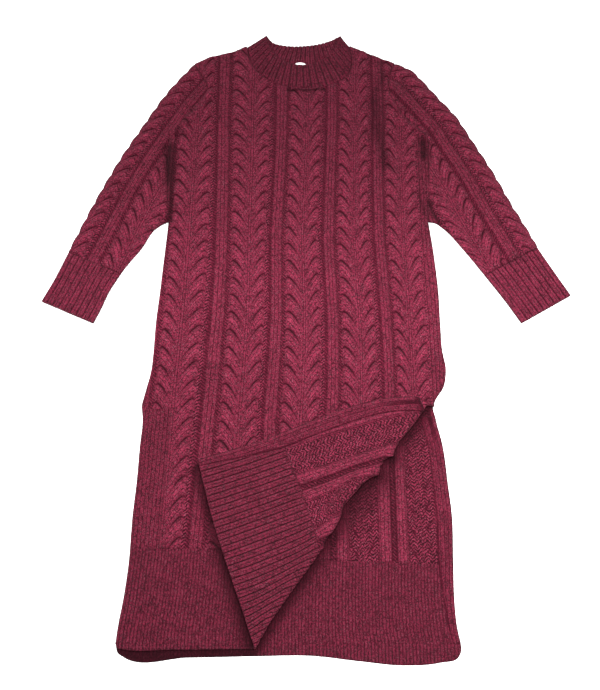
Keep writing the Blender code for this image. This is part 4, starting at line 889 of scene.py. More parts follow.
def knit_material(name):
    """Heathered yarn knitted in stocking stitch, or in purl stitch where the corners say so. The corners also carry
    painted shade for hollows, grooves, gutters and folds, and a brightness that holds painted light and shade.
    """
    s = Shader(name)
    place = s.node("UVMap", uv_map="knit")
    wale, course, _ = s.node("SeparateXYZ", {0: place}).node.outputs
    purl, cavity_shade, painted_light = s.node("SeparateColor", {0: s.node("VertexColor", layer_name="look")}).node.outputs
    body = s.node("TexCoord", output=3)

    across = s.math("ABSOLUTE", s.scaled(s.math("FRACT", wale), 2.0, -1.0))
    border = s.math("SUBTRACT", 1.0, s.math("POWER", across, 4.0))
    middle = s.math("MINIMUM", 1.0, s.scaled(across, 1.5, 0.62))
    row = s.scaled(across, -0.75, course)
    knit = s.product(s.product(border, middle), s.scaled(s.arch(row, 0.6), 0.6, 0.4))

    slant = s.product(s.math("PINGPONG", wale, 1.0), 1.1)
    unrest = s.noise(body, 260.0, 1.0, 0.5)
    bumps = s.arch(s.math("ADD", s.scaled(unrest, 1.3, s.product(course, 0.72)), slant), 0.8)
    stitch = s.node("Mix", {0: purl, 2: knit, 3: bumps}, data_type="FLOAT")
    height = s.scaled(s.noise(body, 900.0, 3.0), 0.35, stitch)
    bump = s.node("Bump", {"Strength": 1.0, "Distance": 0.0013, "Height": height})

    cell = s.node("CombineXYZ", {0: s.math("FLOOR", wale), 1: s.math("FLOOR", row)})
    own = s.node("TexWhiteNoise", {"Vector": cell}, noise_dimensions="2D")
    flecks = s.noise(body, 560.0)
    shade = s.scaled(own, 0.12, s.noise(body, 330.0))
    base = s.mix(s.curve(shade, (0.46, 0.0), (0.66, 1.0)), YARN["deep"], YARN["red"])
    base = s.mix(s.curve(flecks, (0.51, 0.0), (0.68, 0.66)), base, YARN["bright"])
    base = s.mix(s.curve(s.noise(body, 610.0), (0.56, 0.0), (0.70, 0.75)), base, YARN["grey"])
    # Painted shade between the stitches, where the stitch is low
    base = s.mix(s.curve(s.scaled(purl, -0.30, stitch), (0.05, 0.88), (0.6, 0.0)), base, YARN["dark"])
    # Painted shade in the grooves, gutters and folds that the corners mark, a little uneven with the flecks: a dark
    # red, then near black where it is deepest
    painted_shade = s.product(cavity_shade, s.curve(flecks, (0.38, 1.0), (0.64, 0.7)))
    base = s.mix(s.curve(painted_shade, (0.0, 0.0), (0.70, 1.0)), base, YARN["shade"])
    base = s.mix(s.curve(painted_shade, (0.62, 0.0), (1.0, 1.0)), base, YARN["pit"])
    # Painted highlight on the tops of the purl bumps, and painted shade between them
    lift = s.scaled(s.product(purl, s.scaled(bumps, 0.45, -0.25)), 1.0, 1.0)
    # The corners' painted light and shade, the purl bumps' painted highlight, and slow random changes in the yarn's own
    # brightness
    clouds = s.curve(s.noise(body, 60.0, 2.0, 0.5), (0.3, 1.12), (0.7, 1.38))
    base = s.mix(1.0, base, s.product(s.product(painted_light, lift), clouds), "MULTIPLY")
    s.feed(s.surface, {"Base Color": base, "Normal": bump, "Roughness": 0.9, "Specular IOR Level": 0.05})
    s.feed(s.surface, {"Sheen Weight": 0.03, "Sheen Roughness": 0.5, "Sheen Tint": (0.9, 0.35, 0.45, 1.0)})
    return s.material


def satin_material(name):
    """White satin ribbon with a fine weave."""
    s = Shader(name)
    body = s.node("TexCoord", output=3)
    weave = s.node("TexWave", {"Vector": body, "Scale": 420.0, "Distortion": 0.4}, output=1)
    bump = s.node("Bump", {"Strength": 0.25, "Distance": 0.0002, "Height": weave})
    dapple = s.curve(s.noise(body, 300.0, 2.0, 0.5), (0.3, 0.0), (0.7, 1.0))
    shade = s.mix(dapple, (0.74, 0.70, 0.70, 1), (0.86, 0.84, 0.83, 1))
    s.feed(s.surface, {"Base Color": shade, "Normal": bump, "Roughness": 0.38, "Sheen Weight": 0.1})
    return s.material


MATERIALS = {"burgundy_knit": knit_material("heathered_knit"), "white_satin": satin_material("ribbon_satin")}


# ---- Lines that the relief needs ----


def clipped(line, keep):
    """The stretches of a finely spaced line where keep holds."""
    runs, run = [], []
    for ok, point in zip([*keep(*line.T), False], [*line, None]):
        if ok:
            run.append(point)
            continue
        if len(run) > 1:
            runs.append(np.array(run))
        run = []
    return runs


def groove_lines(to_xy, cables, bottom, top, keep):
    """Edges along the grooves between the petals of cables. to_xy turns a pattern place and a length into a
    flat point."""
    lines = []
    share = np.linspace(0.12, 1, 14)
    for cable in cables:
        for side, start in zip((-1, 1), GROOVE_START):
            for repeat in range(math.floor(bottom / CABLE_REPEAT), math.ceil(top / CABLE_REPEAT) + 2):
                along = (repeat + start) * CABLE_REPEAT - groove_drop(share)
                groove = [to_xy(cable + side * q * cable_share(side), at) for q, at in zip(share, along)]
                lines += clipped(np.array(groove), keep)
    return lines


def column_lines(to_xy, middle, bottom, top, keep, stations=COLUMN_STATIONS):
    """Edges along one knit column between two cables."""
    lines = []
    for station in stations:
        line = [to_xy(middle + station, along) for along in np.arange(bottom, top, MESH_STEP)]
        lines += clipped(np.array(line), keep)
    return lines


def station_lines(point, ribs, keep):
    """Edges along ribs. point gives a line's points for the share of the way from the first rib to the last."""
    shares = [(rib + station) / ribs for rib in range(ribs) for station in RIB_STATIONS]
    return [run for share in shares for run in clipped(point(share), keep)]


def rib_lines(left, right, ribs, keep):
    """Edges along ribs between two sides, which are straight lines or functions of how far along a point is."""
    count = math.ceil(1.06 * np.linalg.norm(left(1.0) - left(0.0)) / MESH_STEP / 1.2)
    starts, ends = (np.array([side(t) for t in np.linspace(-0.03, 1.03, count)]) for side in (left, right))
    return station_lines(lambda share: starts + (ends - starts) * share, ribs, keep)


# ---- Edges and shades of the pieces ----


def seam_ends(column, seam, gap):
    """The ends of the seam between a panel and its hem rib, a gap above it."""
    return [(float(edge_x(k, y)), y + gap) for k, y in zip((1, column), seam)]


def sides_of(rows):
    """Rows of points as the sides of a piece, each with fine and with plain steps."""
    return [(through(row, MESH_STEP), through(row, PLAIN_MESH_STEP)) for row in rows]


def body_sides(column, seam, neckline):
    """The edges of a body panel above its hem rib."""
    low = seam_ends(column, seam, SEAM_GAP)
    left, right = ([*edge_points(k, BODY_EDGES[0][0], end[1])[:-1], end] for k, end in zip((1, column), low))
    shoulders = [RIGHT_ARMHOLE, RIGHT_SHOULDER, neckline, LEFT_SHOULDER, LEFT_ARMHOLE[::-1]]
    return sides_of([left, low, right[::-1], *shoulders])


def rib_sides(column, seam, hem):
    """The edges of a hem rib."""
    (left, right), ends = seam_ends(column, seam, -SEAM_GAP), (hem[0], hem[-1])
    down, up = (edge_points(k, top[1], end[1])[1:-1] for k, top, end in zip((1, column), (left, right), ends))
    return sides_of([[left, *down, hem[0]], hem, [hem[-1], *up[::-1], right], [right, left]])


def outline_of(sides):
    return np.vstack([fine[:-1] for fine, _ in sides])


def in_cloth(sides, margin):
    """A test for flat points that lie inside the outline by a margin."""
    outline = np.vstack([outline_of(sides), sides[0][0][:1]])
    return lambda x, y: inside(x, y, outline) & (distance(x, y, outline) > margin)


def seam_fade(x, y, *seams):
    """0 at a seam, and 1 from a small way off."""
    return rounded(distance(x, y, *seams), 0.0015)


def beside_band(x, y, column):
    """1 clear of the slit band, and 0 under it."""
    return eased(edge_x(column, y) - x - band_width(y), *BESIDE_BAND)


def band_width(y):
    """The slit band narrows towards the hem."""
    return np.interp(y, *BAND_WIDTHS)


def left_of(line, by):
    return np.column_stack([line[:, 0] - by, line[:, 1]])


def panel_lines(column, sides, folds):
    """Lines beside the slit band, where the relief ends, and along folds."""
    edge = through(edge_points(column, SLIT_TOP + BAND_WIDTH, BODY_EDGES[-1][0] - BAND_WIDTH), MESH_STEP)
    return [*folds, *within([left_of(edge, band_width(edge[:, 1]) + by) for by in BESIDE_BAND], sides)]


def hem_rib_lines(column, seam, hem, keep):
    """Edges along the ribs of a hem, where keep holds."""
    hem_y = hem[len(hem) // 2][1]

    def edge(which, seam_y):
        levels = lambda t: seam_y + (hem_y - seam_y) * t
        return lambda t: np.array([float(edge_x(which, levels(t))), levels(t)])

    return rib_lines(edge(1, seam[0]), edge(column, seam[1]), HEM_RIBS, keep)


def half_cable_only(p, y):
    """1 where the knit pattern runs, and 0 on the plain strip left of the first cable's middle beside the slit."""
    return 1 - (1 - eased(p, -0.03, 0.0)) * (1 - eased(y, -0.125, -0.105))


def painted_light(x, y):
    """Painted light and shade over the yarn: darker towards the shoulders and in deep folds, lighter about the waist
    and more so along its sides.
    """
    shade = np.interp(y, [-0.10, 0.00, 0.12, 0.20, 0.28, 0.42, 0.55], [1.0, 1.11, 1.17, 1.10, 1.01, 0.93, 0.90])
    low = high = 1
    for away, depth, width in from_bends(x, y, PITS):
        change = 1 - depth * fading(away, width)
        low, high = np.minimum(low, change), np.maximum(high, change)
    return shade * low * high


def flap_shade(x, y):
    """The shade on the front's right side, close to the folded corner's hem."""
    mx, my, from_hem = folded_above(x, y)
    return fading(np.maximum(-from_hem, 0), 0.0150) * (edge_x(2, my) > mx + 0.004)


def fold_shade(x, y):
    """The painted shadow on the back's inside, under and beside the folded edge, and the painted dark shade in the
    pocket at the slit's top.
    """
    away = np.maximum(past_crease(x, y) - FOLDED_EDGE - bulge(x, y), 0)
    width = np.interp(along_crease(x, y), [0, 0.09, 0.15, 0.22, 0.27, 0.46], [0.014, 0.017, 0.026, 0.025, 0.016, 0.012])
    return np.maximum(0.97 * fading(away, width), 0.95 * fading(distance(x, y, through(SLIT_POCKET, 0.004)), 0.0065))


def in_shade(found, shade):
    """The look with a soft shade over it."""
    wales, courses, purl, cavity_shade, bright = found
    return wales, courses, purl, np.maximum(cavity_shade, 0.55 * shade), bright * (1 - 0.62 * shade)


def flap_place(x, y):
    """The place in the knit of the folded corner's wrong side, which is pulled a little down the crease."""
    return pattern_place(x, y) + np.interp(past_crease(x, y), *FLAP_PULL)


def body_point(p, along):
    return pattern_x(p, along), along


def flap_point(p, along):
    """The flat point at one place of the folded corner's knit."""
    x = pattern_x(p, along)
    for _ in range(8):
        x = pattern_x(p - np.interp(past_crease(x, along), *FLAP_PULL), along)
    return x, along


def right_look(x, y, fx, fy):
    """The front's right side."""
    p, at_p = pattern_place(x, y), pattern_place(fx, fy)
    wales, courses, purl, cavity_shade, bright = knit_look(p, y, at_p)
    plain = half_cable_only(at_p, fy) < 0.5
    wales, courses = np.where(plain, p * WALES_A_PITCH, wales), np.where(plain, y / COURSE, courses)
    plain |= at_p > SIDE_STRIP[1]
    cavity_shade = np.where(plain, 0, cavity_shade) * shows_on_front(x, y) * (1 - eased(p, *SIDE_STRIP))
    # The plain strip is painted darker than the cables, and painted light and shade lie over the whole front
    bright = np.where(plain, 0.65, bright) * painted_light(x, y)
    return in_shade((wales, courses, np.where(plain, 0, purl), cavity_shade, bright), flap_shade(x, y))


def flap_look(x, y, fx, fy):
    """The front's wrong side, on the folded corner."""
    return knit_look(flap_place(x, y), y, flap_place(fx, fy), 1)


def inside_look(x, y, fx, fy):
    """The back's wrong side."""
    return in_shade(knit_look(pattern_place(x, y), y, pattern_place(fx, fy), 2.2), fold_shade(x, y))


def under_look(x, y, fx, fy):
    """The back's right side, on the floor."""
    return knit_look(pattern_place(x, y), y, pattern_place(fx, fy))


def hem_look(column, shade=lambda x, y: 0, groove=(0.30, 0.12), bright=0.64, grooves=2):
    return lambda x, y, fx, fy: in_shade(rib_look(hem_phase(x, y, column), y, groove, bright, grooves), shade(x, y))


def wall(relief, share):
    """The height of a wall of cloth that is thin at its edge, where the share is 0."""
    return SIDE_WALL + (CLOTH - SIDE_WALL + relief) * share


def flap_shown(x, y, *seams):
    """1 where the relief on the front's wrong side is whole."""
    return eased(past_crease(x, y), 0, 0.005) * beside_band(x, y, 2) * seam_fade(x, y, *seams)


def inside_shown(x, y, *seams):
    """1 where the relief on the back's inside is whole."""
    return shows_on_back(x, y) * beside_band(x, y, 3) * seam_fade(x, y, *seams)


# ---- The panels and what lies on them ----


def build_front():
    sides = body_sides(2, FRONT_RIB_SEAM, FRONT_NECKLINE)
    edges = [fine for fine, _ in sides]
    seams = edges[1::2]
    soft = [edges[0], edges[2][edges[2][:, 1] > SLIT_TOP + 0.012], edges[4], edges[6]]
    clear = in_cloth(sides, 0.002)

    def right_side(x, y):
        p = pattern_place(x, y)
        side_strip = eased(p, *SIDE_STRIP)
        relief = knit_height(p, y) * (1 - side_strip) + 0.5 * COLUMN_HEIGHT * side_strip
        relief *= shows_on_front(x, y) * half_cable_only(p, y) * seam_fade(x, y, *seams)
        return place_front(x, y, wall(relief, rounded(distance(x, y, *soft), SIDE_ROUND)) - CLOTH / 2)

    def wrong_side(x, y):
        return place_front(x, y, -CLOTH / 2 - wrong_side_height(flap_place(x, y), y) * flap_shown(x, y, *seams))

    def shows(x, y):
        return clear(x, y) & (shows_on_front(x, y) > 0) & (half_cable_only(pattern_place(x, y), y) > 0)

    def on_flap(x, y):
        return clear(x, y) & (past_crease(x, y) > 0.002) & (beside_band(x, y, 2) > 0.3)

    upper = [*crease_lines(sides), *edge_rows(soft, SIDE_ROWS, sides)]
    for cable in range(CABLES):
        upper += groove_lines(body_point, (cable,), GROOVES_END, CABLES_TOP, shows)
        upper += column_lines(body_point, cable + 0.5, CABLES_END, CABLES_TOP, shows)
        upper += column_lines(body_point, cable, CABLES_END, CABLES_TOP, shows, (-CABLE_SHARES[0], CABLE_SHARES[1]))
    lower = panel_lines(2, sides, crease_lines(sides))
    lower += column_lines(flap_point, 3.5, CABLES_END, FOLD_START, on_flap, STRIP_LINES)
    lower += groove_lines(flap_point, (3, 4), FOLD_END, FOLD_START, on_flap)
    faces = (right_side, right_look, upper, FRONT_STEPS), (wrong_side, flap_look, lower, FLAP_STEPS)
    cloth_panel("front", sides, *faces, ["back", "back_hem_rib"])


def build_front_hem_rib():
    sides = rib_sides(2, FRONT_RIB_SEAM, FRONT_HEM)
    side, hem, _, seam = (fine for fine, _ in sides)
    clear = in_cloth(sides, 0.0015)

    def right_side(x, y):
        ribs = rib_height(hem_phase(x, y, 2), SOFT_RIB_HEIGHT) * shows_on_front(x, y) * seam_fade(x, y, seam)
        share = np.minimum(rounded(distance(x, y, side), SIDE_ROUND), rounded(distance(x, y, hem), HEM_ROUND))
        return place_front(x, y, wall(ribs, share) - CLOTH / 2)

    def wrong_side(x, y):
        ribs = rib_height(hem_phase(x, y, 2), RIB_HEIGHT) * flap_shown(x, y, seam)
        return place_front(x, y, CLOTH / 2 - wall(ribs, rounded(distance(x, y, hem), HEM_ROUND)))

    def shows(x, y):
        return clear(x, y) & (shows_on_front(x, y) > 0)

    def on_flap(x, y):
        return clear(x, y) & (past_crease(x, y) > 0.001) & (beside_band(x, y, 2) > 0.5)

    upper = [*crease_lines(sides), *edge_rows((side, hem), HEM_ROWS, sides)]
    lower = [*panel_lines(2, sides, crease_lines(sides)), *edge_rows((hem,), HEM_ROWS, sides)]
    for lines, keep in ((upper, shows), (lower, on_flap)):
        lines += hem_rib_lines(2, FRONT_RIB_SEAM, FRONT_HEM, keep)
    flap_ribs = hem_look(2, groove=(0.85, 0.11), bright=0.67, grooves=1)
    faces = (right_side, hem_look(2, flap_shade), upper, FRONT_STEPS), (wrong_side, flap_ribs, lower, FLAP_STEPS)
    cloth_panel("front_hem_rib", sides, *faces, ["back_hem_rib", "back"])


def fold_edge_lines(sides):
    """Lines beside the folded edge, where the back's relief starts."""
    return within([beside_crease(FOLDED_EDGE + by) for by in BESIDE_FOLD], sides)


def build_back():
    sides = [(fine, fine) for fine, _ in body_sides(3, BACK_RIB_SEAM, BACK_NECKLINE)]
    seams = [fine for fine, _ in sides[1::2]]
    clear = in_cloth(sides, 0.003)

    def wrong_side(x, y):
        relief = wrong_side_height(pattern_place(x, y), y) * inside_shown(x, y, seams[0])
        return at_height(x, y, CLOTH + relief)

    def underside(x, y):
        mask = seam_fade(x, y, *seams) * rounded(np.minimum(x - edge_x(1, y), edge_x(3, y) - x), SIDE_ROUND)
        hollow = under_height(knit_height(pattern_place(x, y), y)) - UNDER_DEPTH
        return at_height(x, y, UNDER_DEPTH + hollow * mask)

    def shows(x, y):
        return clear(x, y) & (shows_on_back(x, y) > 0) & (beside_band(x, y, 3) > 0.3)

    lines = panel_lines(3, sides, fold_edge_lines(sides))
    lines += column_lines(body_point, 3.5, INSIDE_END, FOLD_START, shows, STRIP_LINES)
    lines += groove_lines(body_point, (3, 4), INSIDE_END, FOLD_START, shows)
    under = groove_lines(body_point, range(CABLES), GROOVES_END, CABLES_TOP, clear)
    faces = (wrong_side, inside_look, lines, BACK_STEPS), (underside, under_look, under, UNDER_STEP)
    cloth_panel("back", sides, *faces, [])


def build_back_hem_rib():
    sides = [(fine, fine) for fine, _ in rib_sides(3, BACK_RIB_SEAM, BACK_HEM)]
    _, hem, _, seam = (fine for fine, _ in sides)
    clear = in_cloth(sides, 0.0015)

    def wrong_side(x, y):
        ribs = rib_height(hem_phase(x, y, 3), SOFT_RIB_HEIGHT) * inside_shown(x, y, seam)
        return at_height(x, y, wall(ribs, rounded(distance(x, y, hem), HEM_ROUND)))

    def underside(x, y):
        return at_height(x, y, UNDER_RIBS * (1 - rib_height(hem_phase(x, y, 3), 1.0) * seam_fade(x, y, seam)) / 1.6)

    def shows(x, y):
        return clear(x, y) & (shows_on_back(x, y) > 0) & (beside_band(x, y, 3) > 0.5)

    lines = [*panel_lines(3, sides, fold_edge_lines(sides)), *edge_rows((hem,), HEM_ROWS, sides)]
    lines += hem_rib_lines(3, BACK_RIB_SEAM, BACK_HEM, shows)
    under = hem_rib_lines(3, BACK_RIB_SEAM, BACK_HEM, clear)
    look = hem_look(3, fold_shade)
    cloth_panel("back_hem_rib", sides, (wrong_side, look, lines, BACK_STEPS), (underside, look, under, UNDER_STEP), [])


def build_slit_band(node, column, top, bottom, place, dark, rests_on):
    """The border band on the wrong side of a slit edge, from the slit's top to the hem: a smooth border, a dip and a
    chain line. dark gives the shade painted over it."""
    edge = edge_points(column, top, bottom)
    outer = [(x - BAND_MARGIN, y) for x, y in edge]
    inner = [(x - band_width(y) + BAND_MARGIN, y) for x, y in outer]
    rows = [inner, [inner[-1], outer[-1]], outer[::-1], [outer[0], inner[0]]]
    sides = [(through(row, MESH_STEP),) * 2 for row in rows]

    def share(x, y):
        return np.clip((edge_x(column, y) - BAND_MARGIN - x) / (band_width(y) - BAND_MARGIN), 0, 1)

    def upper(x, y):
        stations = [0, 0.06, 0.2, 0.5, 0.62, 0.70, 0.78, 0.88, 0.96, 1]
        relief = np.interp(share(x, y), stations, [0.3, 0.8, 1, 0.9, 0.6, 0.2, 0.8, 0.9, 0.5, 0.1])
        end = np.minimum(rounded(top - y, 0.003), rounded(y - bottom, 0.003))
        beads = 1 - 0.35 * np.sin(y * math.pi / 0.0046) ** 2 * (np.abs(share(x, y) - 0.84) < 0.08)
        return place(x, y, GAP + BAND * (0.25 + 0.75 * relief * end * beads))

    def lower(x, y):
        return place(x, y, np.full(len(x), GAP))

    def look(x, y, fx, fy):
        across, near_top = share(x, y), eased(y, -0.19, -0.13)
        # Painted shade beside the bright border, stronger near the slit's top, and along the chain line
        border = np.interp(across, [0, 0.05, 0.24, 0.30, 0.48, 0.60], [0.2, 0, 0, 0.9, 0.9, 0]) * (0.2 + 0.8 * near_top)
        chain = np.interp(across, [0.66, 0.71, 0.76, 0.86, 0.91, 0.97, 1], [0, 0.45, 0, 0, 0.8, 0.9, 0.6])
        purl = np.where(share(fx, fy) > 0.74, 0.4, 0.0)
        cavity_shade = np.max([border, chain, dark(x, y)], axis=0)
        return across * band_width(y) / WALE, y / COURSE, purl, cavity_shade, np.full(len(x), 0.70)

    fine = through(edge, MESH_STEP)
    width = band_width(fine[:, 1]) - BAND_MARGIN
    lines = [left_of(fine, BAND_MARGIN + at * width) for at in (0.06, 0.2, 0.62, 0.70, 0.78, 0.88, 0.96)]
    if column == 2:
        lines += crease_lines(sides)
    faces = (upper, look, within(lines, sides), MESH_STEP), (lower, look, (), PLAIN_MESH_STEP)
    cloth_panel(node, sides, *faces, rests_on)


def over_flap(x, y, h):
    return place_front(x, y, -CLOTH / 2 - h)


def over_back(x, y, h):
    return at_height(x, y, CLOTH + h)


def corner_shade(x, y):
    """The shade on the front's slit band, close to the slit's top."""
    return 0.9 * eased(y, SLIT_TOP - 0.012, SLIT_TOP - 0.002)


# ---- The tubes ----


def tube_edges(fold, under, end, start, on_left):
    """The left, far, right and near edges of a sleeve or cuff, whose outer fold is on its left or right."""
    if on_left:
        return fold, end, under, start
    return under[::-1], end[::-1], fold[::-1], start[::-1]


def build_sleeve(side, fold, under, armhole, on_left):
    """A sleeve from its armhole to its cuff. Its middle cable lies along the outer fold."""
    inwards = 1 if on_left else -1
    fold, under = through(fold, MESH_STEP), through(under, MESH_STEP)
    hole = shifted(through(armhole, MESH_STEP), 2 * SEAM_GAP * inwards)
    hole[0], hole[-1] = under[-1], fold[0]
    left, far, right, near = tube_edges(fold, under, through([fold[-1], under[0]], MESH_STEP), hole, on_left)
    sides = [(line, line) for line in (left, far, right, near)]
    clear = in_cloth(sides, 0.002)
    at, slopes = lengths(fold), np.gradient(fold, axis=0)
    slopes /= np.linalg.norm(slopes, axis=1)[:, None]

    def inward_at(along):
        slope = point_at(along, at, slopes)
        return inwards * np.column_stack([-slope[:, 1], slope[:, 0]])

    def to_xy(p, along):
        return tuple((point_at(-along, at, fold) + p * CABLE_PITCH * inward_at(-along))[0])

    def bulged(x, y, z):
        """Moves points near the outer fold out and in with the petals on it."""
        away, along = nearest(x, y, fold)
        ends = eased(along, 0, 0.012) * eased(at[-1] - along, 0, 0.012)
        out = 0.0022 * (0.6 - petal_bow(0.3, -along)) * ends * (1 - eased(away, 0.0, 0.014))
        return at_height(x, y, z) - at_height(*(inward_at(along) * out[:, None]).T, 0)

    def top(x, y):
        (away, along), side = nearest(x, y, fold), distance(x, y, left, right)
        relief = knit_height(away / CABLE_PITCH, -along) * seam_fade(x, y, far, near)
        height = SPLIT + (SPLIT + relief) * rounded(side, SIDE_ROUND)
        return bulged(x, y, height + lift(x, y) * eased(side, ON_LINE, 0.012))

    def low(x, y):
        (away, along), side = nearest(x, y, fold), distance(x, y, left, right)
        relief = under_height(knit_height(away / CABLE_PITCH, -along)) * rounded(side, 0.012)
        return bulged(x, y, SPLIT * (1 - rounded(side, CLOTH)) + relief)

    def look(x, y, fx, fy):
        (away, along), (at_away, _) = nearest(x, y, fold), nearest(fx, fy, fold)
        *found, bright = knit_look(away / CABLE_PITCH, -along, at_away / CABLE_PITCH, dark_side=-inwards)
        # The sleeve's brightness, with the painted light and shade over it
        return *found, bright * painted_light(x, y)

    lines = edge_rows((left, right), SIDE_ROWS, sides)
    lines += groove_lines(to_xy, (0, 1), -at[-1] - GROOVE_DROP, 0, clear)
    lines += column_lines(to_xy, 0.5, -at[-1], 0, clear)
    layers = {
        "top": (top, look, lines, MESH_STEP),
        "low": (low, look, edge_rows((left, right), HEM_ROWS, sides), TUBE_UNDER_STEP),
        "top_in": (lambda x, y: bulged(x, y, SPLIT + GAP / 2), look, (), HIDDEN_STEP),
        "low_in": (lambda x, y: bulged(x, y, SPLIT - GAP / 2), look, (), HIDDEN_STEP),
    }
    ends = dict.fromkeys(("top", "low"), (far, near))
    flat_tube(f"sleeve_{side}", left, right, ends, layers, np.subtract(fold[-1], fold[0]))


def build_cuff(side, fold, under, sleeve_ends, groove, on_left):
    """A ribbed cuff, from close to the sleeve's end to its own."""
    start, end = (a + 0.2 * np.subtract(b, a) for a, b in zip(np.array(sleeve_ends), (fold[0], under[-1])))
    fold, under = through([start, *fold[1:]], MESH_STEP), through([*under[:-1], end], MESH_STEP)
    opening, seam = through([fold[-1], under[0]], MESH_STEP), through([fold[0], under[-1]], MESH_STEP)
    left, far, right, near = tube_edges(fold, under, opening, seam[::-1], on_left)
    sides = [(line, line) for line in (left, far, right, near)]

    def ribs(x, y, height):
        a, b = distance(x, y, left), distance(x, y, right)
        return rib_height(a / (a + b) * CUFF_RIBS, height)

    def top(x, y):
        relief = ribs(x, y, CUFF_RIB_HEIGHT) * seam_fade(x, y, near)
        height = (SPLIT + relief) * rounded(distance(x, y, left, right), SIDE_ROUND)
        return at_height(x, y, SPLIT + height * (0.55 + 0.45 * rounded(distance(x, y, far), HEM_ROUND)))

    def low(x, y):
        side = distance(x, y, left, right)
        relief = UNDER_RIBS * (1 - ribs(x, y, 1.0)) / 1.6 * rounded(side, 0.012)
        return at_height(x, y, SPLIT * (1 - rounded(side, CLOTH)) + relief)

    def look(x, y, fx, fy):
        (a, at), b = nearest(x, y, left), distance(x, y, right)
        return rib_look(a / (a + b) * CUFF_RIBS, at, (groove, 0.14), 0.93)

    back = right[::-1]
    chords = (lambda t: left[0] + (left[-1] - left[0]) * t), (lambda t: back[0] + (back[-1] - back[0]) * t)
    lines = rib_lines(*chords, CUFF_RIBS, in_cloth(sides, 0.002))
    edges = edge_rows((left, right), SIDE_ROWS, sides)
    layers = {
        "top": (top, look, [*edges, *edge_rows((far,), (0.0006, 0.0016), sides), *lines], MESH_STEP),
        "low": (low, look, [*edges, *lines], TUBE_UNDER_STEP),
        "top_in": (lambda x, y: at_height(x, y, SPLIT + GAP / 2), look, (), 0.008),
        "low_in": (lambda x, y: at_height(x, y, SPLIT - GAP / 2), look, (), 0.008),
    }
    ends = dict.fromkeys(("top", "low"), (far, near))
    flat_tube(f"cuff_{side}", left, right, ends, layers, np.subtract(fold[-1], fold[0]))


def collar_place(x, y, seam, rim):
    """Each point's share along the collar, and how far it is from the seam (0) to the rim (1)."""
    places, number = np.unique(np.column_stack([x, y]), axis=0, return_inverse=True)
    if len(places) < 0.7 * len(x):
        return collar_place(*places.T, seam, rim)[:, number.reshape(-1)]
    shares, steps = np.linspace(0, 1, COLLAR_RIBS * 16 + 1), np.linspace(0, 1, 21)
    start, end = (point_at(shares, lengths(line) / lengths(line)[-1], line) for line in (seam, rim))
    grid = (start[:, None] + (end - start)[:, None] * steps[:, None]).reshape(-1, 2)
    found = np.empty((len(x), 2))
    for first in range(0, len(x), 500):
        part = slice(first, first + 500)
        best = ((x[part, None] - grid[:, 0]) ** 2 + (y[part, None] - grid[:, 1]) ** 2).argmin(axis=1)
        found[part] = np.column_stack([shares[best // len(steps)], steps[best % len(steps)]])
    return found.T


